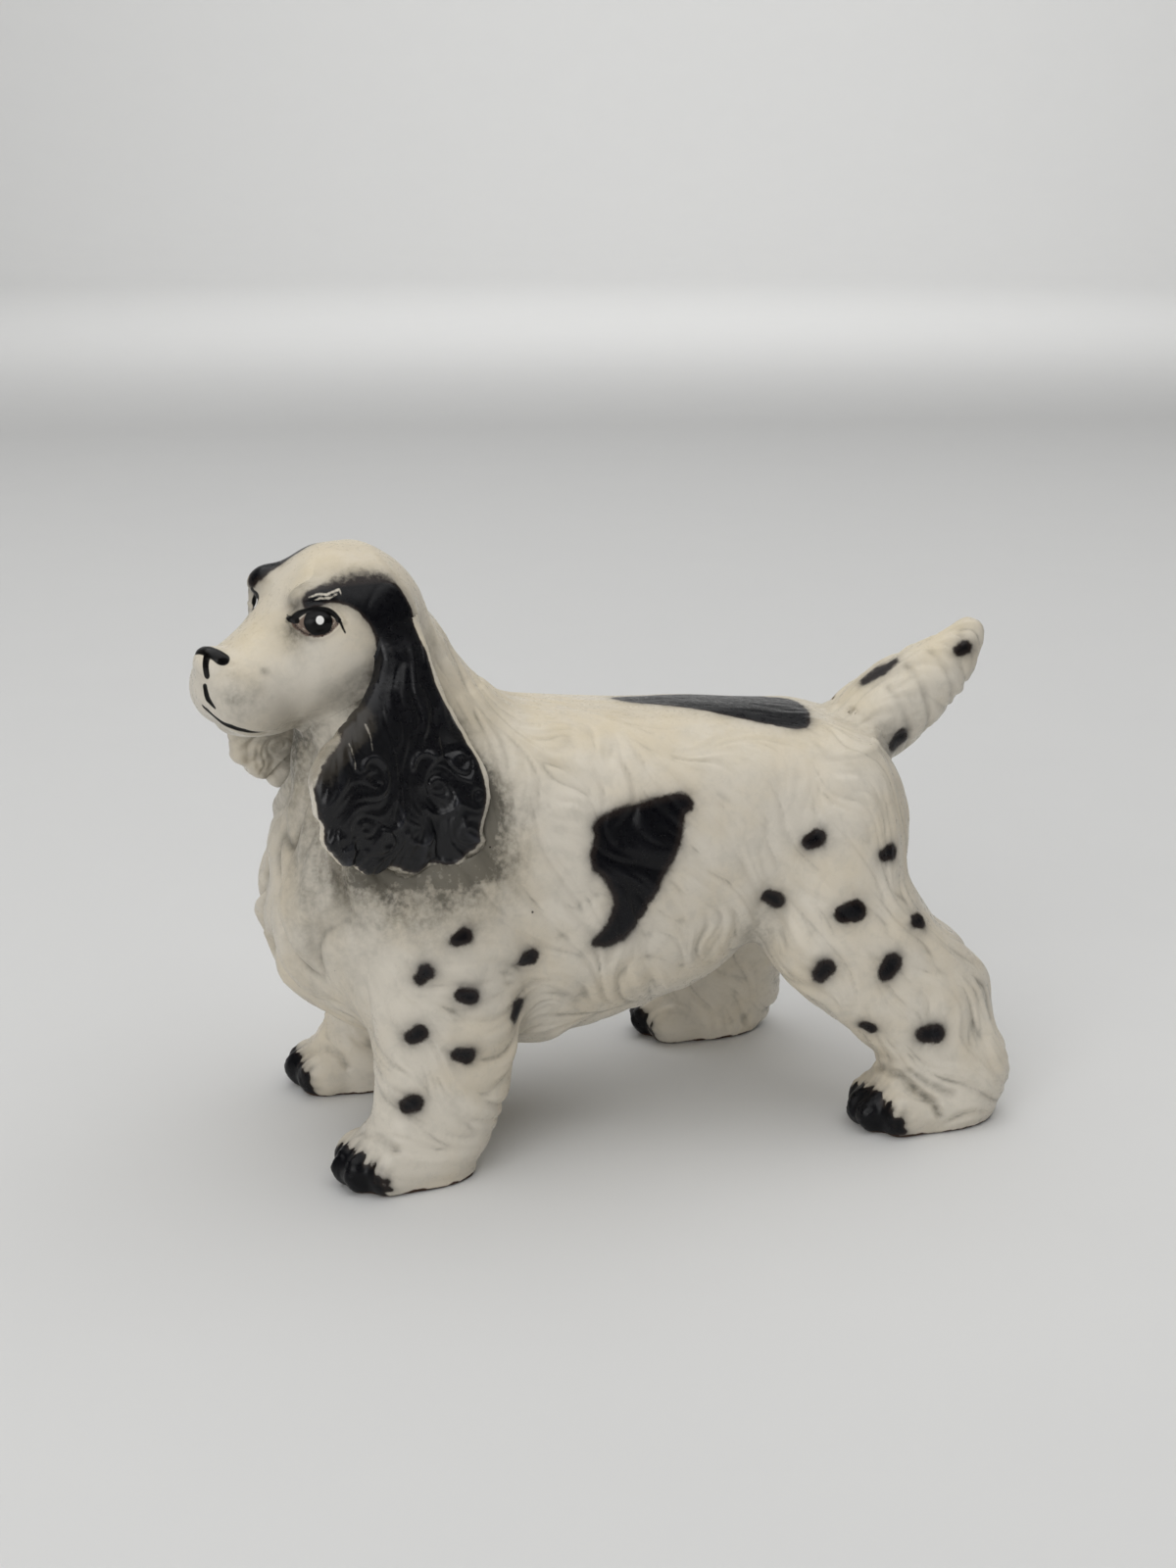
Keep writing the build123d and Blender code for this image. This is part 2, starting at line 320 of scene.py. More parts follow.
class Clay:
    """A distance field on a lattice over a box, negative inside the clay."""

    def __init__(self, low, high, grain=GRAIN):
        self.grain = grain
        first = np.floor(np.array(low) / grain).astype(int)
        last = np.ceil(np.array(high) / grain).astype(int) + 1
        self.axes = [np.arange(a, b, dtype=np.float32) * grain for a, b in zip(first, last)]
        self.value = np.full([len(a) for a in self.axes], FAR, dtype=np.float32)
        self.low = first * grain

    def holding(self, value):
        """The same lattice holding another field."""
        other = copy.copy(self)
        other.value = value
        return other

    def block(self, shape, margin):
        """The slices and points of the lattice within margin of a shape."""
        cuts = []
        for axis, low, high in zip(self.axes, shape.low - margin, shape.high + margin):
            cuts.append(slice(int(np.searchsorted(axis, low)), int(np.searchsorted(axis, high))))
        x, y, z = (axis[cut] for axis, cut in zip(self.axes, cuts))
        return tuple(cuts), x[:, None, None], y[None, :, None], z[None, None, :]

    def add(self, shape, blend=2.0, even=False):
        cuts, x, y, z = self.block(shape, blend + 3.0)
        d = self.evened(shape, x, y, z) if even else shape.distance(x, y, z).astype(np.float32)
        self.value[cuts] = smooth_min(self.value[cuts], d, blend)
        return self

    def evened(self, shape, x, y, z):
        """A swept shape's distance, divided by its slope so that it blends like the others."""
        d = np.broadcast_to(shape.distance(x, y, z), (x.size, y.size, z.size)).astype(np.float32)
        if min(d.shape) < 2:
            return d
        slope = np.sqrt(sum(g * g for g in np.gradient(d, self.grain)))
        return d / np.clip(slope, 0.35, 3.0)

    def cut(self, shape, blend=0.8):
        cuts, x, y, z = self.block(shape, blend + 3.0)
        self.value[cuts] = smooth_max(self.value[cuts], -shape.distance(x, y, z), blend)
        return self

    def sample(self, points):
        """The distance at loose points, by straight-line interpolation."""
        place = (points - self.low) / self.grain
        limit = np.array(self.value.shape) - 2
        cell = np.clip(np.floor(place).astype(int), 0, limit)
        f = np.clip(place - cell, 0.0, 1.0)
        return sum(weight * self.value[tuple(corner)] for corner, weight in cell_corners(cell, f))

    def slope(self, points):
        """The outward direction at loose points."""
        step = self.grain
        parts = []
        for axis in range(3):
            nudge = np.zeros(3)
            nudge[axis] = step
            parts.append(self.sample(points + nudge) - self.sample(points - nudge))
        direction = np.stack(parts, 1)
        return direction / (np.linalg.norm(direction, axis=1, keepdims=True) + 1e-9)


# ---------------------------------------------------------------- the dog's forms
def ear_middle(forward, up):
    """How far from the head's middle plane the middle of an ear's thickness hangs."""
    levels, hang = zip(*EAR_HANG)
    flare_front = 0.035 * np.clip(forward - 4.0, 0, None) ** 1.4
    flare_back = 0.5 * np.clip(-3.0 - forward, 0, None) * ease(84.0, 68.0, up)
    return np.interp(up, levels, hang) + flare_front + flare_back


def lobe_share(up):
    """How much of an ear's shift is felt at a level: none at its root, all of it in the lobe."""
    return ease(100.0, 85.0, up)


def ear_edge(name, s, z):
    """Distance in the head's side plane to an ear's scalloped outline."""
    corners = outline_curve(EAR_OUTLINE)
    corners += np.outer(lobe_share(corners[:, 1]), EAR_SHIFT[name])
    edge = outline_distance(s, z, corners)
    shift, rise = EAR_SHIFT[name]
    for forward, up, radius in SCALLOPS:
        edge = smooth_min(edge, np.hypot(s - forward - shift, z - up - rise) - radius, SCALLOP_BLEND)
    return edge, corners


def ear_shape(name):
    """An ear as a pillow over its outline, hung clear of the throat."""
    side = LEFT if name == "ear_left" else RIGHT

    def distance(s, t, z):
        s, t, z = np.broadcast_arrays(s, t, z)
        edge, _ = ear_edge(name, s, z)
        middle = ear_middle(s - EAR_SHIFT[name][0], z)
        inward = np.clip(-edge / 7.0, 0.0, 1.0)
        swell = EAR_THICK - EAR_RIM - 1.8 * ease(95.0, 107.0, z)
        half = EAR_RIM + swell * np.sqrt(1.0 - (1.0 - inward) ** 2)
        gap = np.abs(t * -side - middle) - half
        return np.where(edge < 0, np.maximum(gap, edge), np.sqrt(edge ** 2 + np.clip(gap, 0, None) ** 2))

    _, corners = ear_edge(name, np.zeros(1), np.zeros(1))
    low = (corners[:, 0].min(), -30 if side == RIGHT else 5, corners[:, 1].min())
    high = (corners[:, 0].max(), -5 if side == RIGHT else 30, corners[:, 1].max())
    return in_head(Shape(low, high, distance))


TOE_PADS = [(-1.5, 2.2, 4.6), (-0.5, 4.6, 5.4), (0.5, 4.6, 5.4), (1.5, 2.0, 4.6)]  # place, forward, length
TOE_SPACING = 3.9


def paw(x, y, turn):
    """The instep and four toes of one foot; turn swings the toes outwards, in degrees."""
    side = LEFT if y < 0 else RIGHT
    yaw = math.radians(turn) * side
    ahead = np.array([-math.cos(yaw), math.sin(yaw)])
    across = np.array([-ahead[1], ahead[0]])
    heading = math.degrees(math.atan2(ahead[1], ahead[0]))
    shapes = []
    for place, forward, long in TOE_PADS:
        middle = np.array([x, y]) + ahead * (forward + 0.6) + across * place * TOE_SPACING
        shapes.append(egg((*middle, 3.6), (long, 2.8, 4.3), turn=heading))
    instep = egg((x + 3.5, y, 5.5), (9.5, 7.8, 6.6), turn=heading)
    return instep, shapes


FEET = {
    "foreleg_left": (FORELEG, LEFT, 0.0, paw(-48.6, -21.6, 22)),
    "foreleg_right": (FORELEG, RIGHT, FORELEG_SHIFT, paw(-49.8, 21.6, 22)),
    "hindleg_left": (HINDLEG_LEFT, LEFT, 0.0, paw(51.5, -26.6, 12)),
    "hindleg_right": (HINDLEG_RIGHT, RIGHT, 0.0, paw(25.0, 27.0, 12)),
}
MUSCLES = [
    (egg((x, side * y, z), (long, wide, 20)), 6)
    for x, y, z, long, wide in ((-36, 13, 47, 15, 13), (40, 11, 54, 16.5, 13.5)) for side in (LEFT, RIGHT)
] + [(egg((-54.5, 0, 48), (10.5, 16, 18)), 5)]
NECK = limb((-37, 0, 61, 22.5), (-40, 0, 76, 19), (-45, 0, 90, 15.5), (-48.5, 0, 100, 13), flat=0.93)
HEAD_SHAPES = [(in_head(swept(HEAD, "head", square=2.15)), 0.5, True)]
for side in (1, -1):  # the muzzle's two pads
    HEAD_SHAPES.append((in_head(egg((20.3, 4.4 * side, 89.8), (7.0, 5.0, 6.7))), 2.0, False))
HEAD_SHAPES += [
    (in_head(egg((16.5, 0, 84.6), (8.6, 5.2, 3.0))), 1.2, False),
    (in_head(egg((25.7, 0, 96.0), (3.2, 4.2, 2.8), tilt=-20)), 1.2, False),
    (in_head(egg((9.8, 7.8, 106.8), (4.4, 4.2, 2.6), turn=25)), 2.0, False),
    (in_head(egg((9.8, -7.2, 106.8), (4.4, 4.2, 2.6), turn=-25)), 2.0, False),
    (in_head(egg((10.6, 9.6, 103.2), (4.4, 3.6, 3.4), turn=-35)), 0.9, False),
    (in_head(egg((10.2, -8.6, 103.2), (4.4, 3.6, 3.4), turn=35)), 0.9, False),
]
EARS = {name: ear_shape(name) for name in EAR_SHIFT}


def own_shapes(name):
    """The shapes that make one casting, each with its blend and whether it is a swept one."""
    if name in FEET:
        stations, side, shift, (instep, toes) = FEET[name]
        leg = swept(stations, "z", side=side, shift=shift, square=2.2)
        return [(leg, 3.0, True), (instep, 2.5, False)] + [(toe, 2.1, False) for toe in toes]
    if name == "torso":
        trunk = swept(TRUNK, "x", square=2.3)
        return [(trunk, 1.0, True), (NECK, 7.0, False)] + [(m, b, False) for m, b in MUSCLES]
    if name == "tail":
        return [(swept(TAIL, "x", square=2.0), 2.0, True)]
    if name == "head":
        return HEAD_SHAPES
    return [(EARS[name], 1.0, False)]


BELLY_VENT = limb((-10, 0, 12, 1.75), (-10, 0, 24, 1.75))
# How widely each casting is blended into those before it, and how far its own skin reaches past its
# own form into the blends
JOINING = {"torso": 1.0, "tail": 3.0} | dict.fromkeys(FEET, 4.0) | {"head": 3.0} | dict.fromkeys(EARS, 1.2)
GROWN = {"torso": 5.0, "tail": 1.0} | dict.fromkeys(FEET, 1.5) | {"head": 1.5} | dict.fromkeys(EARS, 0.6)


def casting(name, low, high, grain):
    """The distance field of one casting's own form."""
    clay = Clay(low, high, grain)
    for shape, blend, even in own_shapes(name):
        clay.add(shape, blend, even)
    return clay


def joined(low, high, grain, leave_out=()):
    """The whole dog's surface over a box, and each casting's own field there."""
    whole = Clay(low, high, grain)
    own = {}
    for other, blend in JOINING.items():
        form = casting(other, low, high, grain)
        own[other] = form.value
        if other in leave_out:
            continue
        if other in EARS:
            level = whole.axes[2][None, None, :]
            blend = 0.5 + 4.5 * ease(92.0, 108.0, level)
        whole.value = smooth_min(whole.value, form.value, blend)
    whole.value = np.maximum(whole.value, -whole.axes[2][None, None, :])
    return whole, own


def model(name, grain):
    """The lattice of one casting: the whole dog's surface, cut down to that casting's share."""
    shapes = own_shapes(name)
    low = np.min([s.low for s, _, _ in shapes], 0) - 5.0
    high = np.max([s.high for s, _, _ in shapes], 0) + 5.0
    low[2] = max(low[2], -2.0)
    whole, own = joined(low, high, grain)
    share = np.maximum(whole.value, own[name] - GROWN[name])
    rank = list(JOINING)
    for other in rank[rank.index(name) + 1:]:
        region = own[other] - GROWN[other]
        share = share + SEAM_STEP * ease(0.3, -0.3, region)
        share = np.maximum(share, -(region + (EAR_LAP if other in EARS else SEAM_LAP)))
    cut = whole.holding(share)
    if name == "torso":
        cut.cut(BELLY_VENT, 0.4)
    form = whole.holding(own[name])
    form.low = grain * np.floor(whole.low / grain)  # rounding can start it one step lower than whole
    return whole, cut, form


def skin(clay):
    """The clay's surface as points and four-sided faces."""
    grain = clay.grain
    grid = openvdb.FloatGrid(3 * grain)
    grid.copyFromArray(np.ascontiguousarray(np.clip(clay.value, -3 * grain, 3 * grain)))
    points, quads = grid.convertToQuads(isovalue=0.0)
    return np.asarray(points, dtype=float) * grain + clay.low, np.asarray(quads)


def largest_part(points, quads):
    """Keep only the biggest connected skin."""
    edges = np.concatenate([quads[:, [0, 1]], quads[:, [1, 2]], quads[:, [2, 3]]])
    label = np.arange(len(points))
    while True:
        lowest = np.minimum(label[edges[:, 0]], label[edges[:, 1]])
        new = label.copy()
        np.minimum.at(new, edges[:, 0], lowest)
        np.minimum.at(new, edges[:, 1], lowest)
        new = new[new]
        if np.array_equal(new, label):
            break
        label = new
    keep = label == np.bincount(label).argmax()
    renumber = np.cumsum(keep) - 1
    return points[keep], renumber[quads[keep[quads[:, 0]]]]


# ---------------------------------------------------------------- carved hair
# Combing guides: place (x, distance from the middle plane, z), direction, width and height of a tuft
COMBING = [
    ((-33, 8, 98), (0.5, 0.1, -0.85), 2.6, 0.3), ((-30, 16, 86), (0.5, 0.1, -0.9), 2.8, 0.4),
    ((-12, 8, 83), (0.9, 0.1, -0.25), 3.2, 0.08), ((14, 6, 81), (1, 0.1, -0.1), 3.2, 0.04),
    ((42, 8, 78), (0.9, 0.1, -0.4), 3.2, 0.05), ((-22, 24, 68), (0.35, 0.1, -1), 4.2, 0.4),
    ((-33, 27, 52), (0.2, 0, -1), 4.2, 0.36), ((-5, 25, 66), (0.22, 0, -1), 3.8, 0.26),
    ((-2, 25, 48), (0.25, 0, -1), 4, 0.32), ((-4, 22, 30), (0.6, 0, -0.75), 4.2, 0.55),
    ((10, 22, 38), (0.65, 0, -0.7), 4, 0.42), ((-5, 6, 18), (1, 0.1, -0.1), 4, 0.4),
    ((22, 23, 62), (0.2, 0, -1), 3.6, 0.2), ((22, 22, 44), (0.45, 0, -0.9), 3.6, 0.22),
    ((42, 24, 56), (0.3, 0, -1), 3.8, 0.22), ((54, 10, 62), (0.5, 0, -0.9), 3.8, 0.2),
    ((55, 22, 40), (0.65, 0, -0.75), 4.2, 0.4), ((42, 27, 33), (0.6, 0, -0.8), 4, 0.3),
    ((66, 28, 27), (0.9, 0, -0.35), 4.4, 0.6), ((56, 30, 20), (0.6, 0, -0.8), 3.8, 0.3),
    ((70, 30, 14), (0.35, 0, -0.95), 3.8, 0.6), ((62, 32, 7), (0.75, 0, -0.6), 3.2, 0.5),
    ((-65, 4, 58), (0.25, 0.5, -1), 5, 1.5), ((-64, 10, 45), (0.5, 0.5, -0.9), 5.2, 1.6),
    ((-55, 18, 58), (0.35, 0.2, -1), 5, 1.4), ((-54, 20, 42), (0.55, 0.2, -0.8), 4.8, 1.1),
    ((-56, 8, 29), (0.9, 0.3, -0.3), 4, 0.55), ((-56, 4, 72), (0.1, 0.2, -1), 4.4, 1.1),
    ((-44, 28, 40), (0.8, 0, -0.5), 4, 0.4), ((-32, 30, 38), (1, 0, -0.2), 4.6, 0.75),
    ((-24, 28, 32), (1, 0, 0.25), 4.6, 0.95), ((-46, 30, 24), (0.25, 0, -1), 3.6, 0.12),
    ((-36, 31, 24), (0.95, 0, -0.35), 4.2, 0.6), ((-27, 28, 20), (1, 0, 0.2), 4.4, 0.9),
    ((-38, 31, 12), (0.9, 0, -0.4), 3.6, 0.22), ((-30, 26, 8), (1, 0, -0.1), 3.4, 0.34),
    ((52, 5, 80), (0.85, 0, 0.5), 2.6, 0.16), ((60, 8, 78), (0.8, 0, -0.5), 3.2, 0.3),
    ((70, 6, 83), (0.8, 0, -0.5), 3, 0.3), ((60, 6, 70), (0.8, 0, -0.5), 3.2, 0.35),
]
GUIDE_REACH = 9.0  # how far a combing guide is felt
STRIDE = 1.1  # step along the combing
WANDER = 0.55  # how far the combing strays to either side
WEAVE_SIDE = 61
WEAVE = rng.normal(size=(WEAVE_SIDE,) * 3).astype(np.float32)
SMEAR_GAIN = 0.75
HAIR_RISE = 1.75  # how boldly the combing stands


def combed(points):
    """The combing at loose points: direction, width and height of a tuft."""
    place = np.array([g[0] for g in COMBING], dtype=float)
    values = np.array([(*g[1], *g[2:]) for g in COMBING], dtype=float)
    mirrored = points.copy()
    side = np.where(points[:, 1] < 0, -1.0, 1.0)
    mirrored[:, 1] = np.abs(points[:, 1])
    gap = ((mirrored[:, None, :] - place[None]) ** 2).sum(2)
    weight = np.exp(-gap / (2 * GUIDE_REACH ** 2)) + 1e-12 / (gap + 1.0)
    mixed = weight @ values / weight.sum(1, keepdims=True)
    mixed[:, 1] *= side
    return mixed[:, :3], mixed[:, 3], mixed[:, 4]


def ease_direction(direction, normal):
    """A direction laid flat on the surface, at unit length."""
    flat = direction - (direction * normal).sum(1, keepdims=True) * normal
    return flat / (np.linalg.norm(flat, axis=1, keepdims=True) + 1e-9)


def random_grain(points, size):
    """Smooth random values at points, with features of about a size."""
    place = points / size
    cell = np.floor(place)
    f = place - cell
    f = f * f * (3.0 - 2.0 * f)
    corners = cell_corners(cell.astype(int), f)
    return sum(weight * WEAVE[tuple(corner % WEAVE_SIDE)] for corner, weight in corners)


def smeared(points, advance, sizes, steps, stride):
    """Random grain of each size drawn out along a flow; advance moves points one stride along it."""
    totals = [random_grain(points, size) for size in sizes]
    for sense in (1.0, -1.0):
        here = points
        for step in range(steps):
            here = advance(here, sense)
            fade = 1.0 - step / steps
            totals = [total + fade * random_grain(here, size) for total, size in zip(totals, sizes)]
    return [total * SMEAR_GAIN / math.sqrt(steps * size / stride) for total, size in zip(totals, sizes)]


def comb_along(points, sense):
    """Points moved one stride along the combing, which wanders a little, and kept on the body."""
    out = BODY.slope(points)
    ahead = ease_direction(combed(points)[0], out)
    across = np.cross(out, ahead)
    turn = (WANDER * random_grain(points + 50.0, 9.0))[:, None]
    moved = points + sense * STRIDE * (ahead * np.cos(turn) + across * np.sin(turn))
    return moved - out * np.clip(BODY.sample(moved), -1.0, 1.0)[:, None]


def tufts(value):
    """Rounded tufts with narrow grooves between, from 0 to 1."""
    return np.clip(1.25 * np.abs(value), 0.0, 1.3) ** 0.9


def hair_relief(points):
    """How the body's hair stands at points: its relief, and how tall it is combed there."""
    _, width, tall = combed(points)
    tall = HAIR_RISE * tall
    bold, medium, fine = smeared(points, comb_along, (4.8, 3.1, 1.6), 9, STRIDE)
    share = ease(3.7, 4.9, width)
    coarse = share * tufts(bold) + (1 - share) * tufts(medium)
    fine_tall = 0.14 + 0.3 * np.minimum(tall, 0.5)
    return tall * coarse + fine_tall * ease(0.02, 0.2, tall) * tufts(fine), tall


def ear_path(name, places, clay):
    """A stroke drawn on the ear's outer face through places (forward, up), laid on the clay."""
    side = LEFT if name == "ear_left" else RIGHT
    left = -side * (ear_middle(places[:, 0], places[:, 1]) + EAR_THICK)
    places = places + np.outer(lobe_share(places[:, 1]), EAR_SHIFT[name])
    flat = HEAD_PIVOT + np.outer(places[:, 0], HEAD_FORWARD) + np.outer(left, HEAD_LEFT)
    here = np.column_stack([flat, places[:, 1]])
    inward = np.array([*(HEAD_LEFT * side), 0.0])
    for _ in range(6):
        here = here + inward * clay.sample(here)[:, None]
    return here


# Whorls in the ear's hair: centre (forward, up), reach, turning sense and strength
WHORLS = [
    (7.4, 77.6, 4.4, 1.3), (-2.4, 75.4, 4.4, -1.3), (-9.6, 79, 3.8, 0.7), (12.4, 71, 3.8, -0.8),
    (1, 68.6, 3.4, 1.1), (-6.6, 66.4, 3.8, -1.1), (-11.4, 72.6, 3, 0.7), (6.8, 66.2, 3.2, 0.8),
]
# Curled tips that stand out of the ear's hair: centre (forward, up), radius, arc in degrees
CURLS = [
    (0.6, 68.4, 2.8, (-150, -10)), (-5.4, 64.6, 3.6, (-100, 20)), (-3.4, 73.4, 3.2, (200, 330)),
    (6.6, 72, 3, (190, 300)), (8.6, 79.6, 2.4, (20, 160)), (-1.6, 78.6, 2.6, (10, 140)),
    (12.6, 67.2, 3, (-100, 0)), (-10.6, 68.4, 3.4, (-110, 10)),
]
STRAND_STEP = 0.6


def ear_flow(places):
    """Which way the ear's hair runs at places (forward, up): down, fanning out, and round each whorl."""
    forward, up = places.T
    fan = 0.55 * np.clip(forward + 2.0, -12.0, 18.0) / 16.0 * ease(106.0, 84.0, up)
    flow = np.column_stack([fan + 0.35 * np.sin(up * 0.55 + forward * 0.3), -np.ones(len(places))])
    for centre_forward, centre_up, reach, turn in WHORLS:
        rel = places - (centre_forward, centre_up)
        pull = np.exp(-(rel ** 2).sum(1) / (2 * reach ** 2))
        away = np.linalg.norm(rel, axis=1, keepdims=True) + 0.4
        round_it = np.column_stack([-rel[:, 1], rel[:, 0]]) / away
        flow = flow * (1 - 0.4 * pull)[:, None] + 1.2 * turn * pull[:, None] * round_it
    return flow / (np.linalg.norm(flow, axis=1, keepdims=True) + 1e-6)


def ear_along(places, sense):
    """Places (forward, up) moved one step along the ear's hair."""
    moved = places.copy()
    moved[:, :2] += sense * STRAND_STEP * ear_flow(places[:, :2])
    return moved


def arc_distance(forward, up, centre, radius, arc):
    """Distance in the ear's plane to an arc."""
    angle = np.radians(np.linspace(*arc, 9))
    path = list(zip(centre[0] + radius * np.cos(angle), centre[1] + radius * np.sin(angle)))
    return line_2d(forward, up, path, 0.0)


def ear_relief(name, points):
    """The relief of the ear's hair at points."""
    forward, _, up = head_axes(points)
    shift, rise = EAR_SHIFT[name]
    lobe = lobe_share(up)
    forward, up = forward - shift * lobe, up - rise * lobe
    places = np.column_stack([forward, up, np.full(len(points), 20.0 if name == "ear_left" else 40.0)])
    broad, strand = smeared(places, ear_along, (3.6, 1.2), 14, STRAND_STEP)
    lower = ease(100.0, 90.0, up)
    relief = (0.25 + 0.3 * lower) * tufts(broad) + (0.12 + 0.2 * lower) * tufts(strand)
    for centre_forward, centre_up, radius, arc in CURLS:
        gap = arc_distance(forward, up, (centre_forward, centre_up), radius, arc)
        dish = np.hypot(forward - centre_forward, up - centre_up) / radius
        relief = relief + 0.36 * np.exp(-(gap / 0.45) ** 2) - 0.12 * np.exp(-(dish / 0.7) ** 4)
    for centre_forward, centre_up, radius in SCALLOPS:
        gap = arc_distance(forward, up, (centre_forward, centre_up), 0.78 * radius, (-165, -15))
        relief = relief + 0.25 * np.exp(-(gap / 0.5) ** 2)
    return relief


# ---------------------------------------------------------------- surfaces to work on
def head_axes(points):
    """Points in the head's axes: forward, left, up."""
    flat = points[:, :2] - HEAD_PIVOT
    return flat @ HEAD_FORWARD, flat @ HEAD_LEFT, points[:, 2]


def from_head(places):
    """Places given in the head's axes, in the row frame."""
    places = np.array(places, dtype=float)
    flat = HEAD_PIVOT + np.outer(places[:, 0], HEAD_FORWARD) + np.outer(places[:, 1], HEAD_LEFT)
    return np.column_stack([flat, places[:, 2]])


def settle(clay, places, steps=4):
    """Places moved straight onto the clay's surface."""
    places = np.array(places, dtype=float)
    for _ in range(steps):
        places = places - clay.slope(places) * np.clip(clay.sample(places), -3.0, 3.0)[:, None]
    return places


COARSE = 1.0  # lattice step of the fields that strokes and hair are laid on
AROUND = 8.0  # how far those fields reach past the CAD box
SURROUND, OWN = joined(CAD_LOW - AROUND, CAD_HIGH + AROUND, COARSE)
BODY, _ = joined(CAD_LOW - AROUND, CAD_HIGH + AROUND, COARSE, leave_out=tuple(EARS))
HEAD_CLAY = SURROUND.holding(OWN["head"])
EAR_CLAY = [SURROUND.holding(OWN[ear]) for ear in EARS]


LIMIT = 9.0  # the most that a distance to brushwork, or its coverage, counts


def stroke_gap(points, path, radii):
    """Distance from points to a line through places, less a radius that changes along it."""
    path = np.array(path, dtype=float)
    radii = np.broadcast_to(np.array(radii, dtype=float), len(path))
    reach = radii.max() + 4.0
    best = np.full(len(points), LIMIT)
    near = np.flatnonzero(((points > path.min(0) - reach) & (points < path.max(0) + reach)).all(1))
    if near.size == 0:
        return best
    p = points[near]
    gap = np.full(near.size, LIMIT)
    if len(path) == 1:
        gap = np.linalg.norm(p - path[0], axis=1) - radii[0]
    for a, b, ra, rb in zip(path[:-1], path[1:], radii[:-1], radii[1:]):
        run = b - a
        t = np.clip((p - a) @ run / (run @ run + 1e-9), 0.0, 1.0)
        gap = np.minimum(gap, np.linalg.norm(p - a - t[:, None] * run, axis=1) - (ra + (rb - ra) * t))
    best[near] = gap
    return best


# ---------------------------------------------------------------- brushwork
SPOTS_LEFT = [
    (-35.8, -28.6, 48.1, 1.8), (-22.8, -25.5, 41.6, 1.9), (-42.7, -28.8, 41.9, 1.8),
    (-35.3, -29.7, 37.5, 1.9), (-24.9, -25.5, 31.5, 2), (-44.4, -29.2, 30.8, 2), (-36.2, -30.3, 26.4, 2),
    (-45.6, -28.7, 17.2, 2.1), (32.5, -25.1, 58.8, 2), (25.5, -22.9, 47.3, 2), (38.6, -29.1, 45.2, 2.6),
    (47.3, -25.5, 54.8, 1.9), (53.1, -27.6, 41.3, 1.9), (33.7, -29, 33.9, 2.2), (46.1, -31.3, 34, 2.4),
    (42.7, -30.2, 22, 1.6), (54.1, -33.2, 20.4, 2.3),
]
HIND_STRIDE = -24.0  # how far ahead the right hind foot stands
SPOTS_TAIL = [(71.4, -4.4, 87.8, 1.7), (56.9, -7.2, 71.2, 2.2), (66.0, 5.5, 77.0, 1.6)]
TAIL_STREAK = [(52.4, -1.0, 81.8), (55.6, -1.4, 83.9), (58.6, -1.2, 85.4)]
FLANK_PATCH = [
    (-8.6, 66.2), (-5.3, 67.4), (-0.7, 68.1), (3.9, 68.8), (7.2, 69), (9.4, 68), (9.4, 66.2), (7.9, 65),
    (7.6, 63.1), (6.2, 59), (3.3, 53.7), (-0.4, 47.3), (-3.6, 43.5), (-6.6, 41.9), (-9.7, 42.1),
    (-10.4, 43.3), (-8.6, 45.6), (-7, 48.2), (-6.5, 50.8), (-7.3, 53.1), (-8.6, 55.5), (-10.3, 57),
    (-10.8, 59.6), (-9.9, 62.5), (-9.9, 64.6),
]
SADDLE = [
    (2, 3), (3.6, -0.4), (10.9, -3.2), (19.2, -7.2), (27.1, -10.4), (33.6, -12.4), (36.6, -11.4),
    (38.4, -7.5), (39.6, -2), (39.8, 3), (36.5, 7), (30, 8.2), (20, 7), (10, 5.6),
]
HEAD_PATCH = [
    (13.2, 107.2), (12, 108.6), (9.6, 109.3), (7.6, 109.6), (5, 110.4), (1.3, 110.9), (-3, 109.8),
    (-5.6, 105.4), (-5.6, 101), (-5, 93), (1.5, 92), (1.9, 96.8), (2.5, 101.3), (4.1, 104.4), (5.6, 105.9),
    (7.4, 106.6), (9.2, 106.7), (11.2, 106.2), (12.7, 106.1),
]
# Lines on the face, in the head's axes
FACE_LINES = {
    "nose_bar": [(26.8, -2.8, 98.2), (27, -1.2, 98.3), (26.4, 1, 97.7), (25.4, 3, 96.9)],
    "nose_stem": [(26.8, 1.5, 97.4), (27.6, 2.3, 96), (28, 2.7, 94.7)],
    "lip_tick": [(28.2, 2.2, 92.5), (28.2, 3, 90.6), (27.8, 4.5, 89.2)],
    "mouth": [
        (27.5, -0.2, 88.3), (27.3, 1.6, 87.8), (26.8, 3.4, 87), (25.4, 5.9, 85.9), (23.6, 6.9, 84.9),
        (21.6, 7, 84), (19, 6.6, 83.6),
    ],
    "far_brow": [
        (13.4, -6.6, 108), (12.4, -6.7, 109.4), (10.6, -6.5, 110.6), (8, -6.1, 111.7), (5.4, -5.4, 112.9),
        (3, -4.4, 114.1),
    ],
    "far_eye": [(13, -6.6, 106.4), (13.9, -6, 105), (14.5, -5.2, 103.8)],
    "far_glint": [(14.2, -5.3, 104.7), (14.7, -4.7, 103.9)],
    "nostril_left": [(25.4, 3.9, 96.4), (24.2, 4.8, 95.8)],
    "nostril_right": [(25.4, -3.9, 96.4), (24.2, -4.8, 95.8)],
}
EYE_TURN = math.radians(24.0)
EYE_MIDDLE = (5.5, 103.8)  # along the eye's own level line, and up
EYE_HALF = 3.9
LID_RISE = 2.15
LID_DROP = 2.35
IRIS = (5.15, 103.8, 2.5)
GLINT = (4.9, 104.15, 0.72)
# Feet: where the black on the toes begins, its direction in degrees from straight ahead
TOES = {
    "foreleg_left": ((-48.6, -21.6), -22.0, 4.7), "foreleg_right": ((-49.8, 21.6), 0.0, 5.6),
    "hindleg_left": ((51.5, -26.6), -12.0, 4.0), "hindleg_right": ((25.0, 27.0), 6.0, 6.6),
}
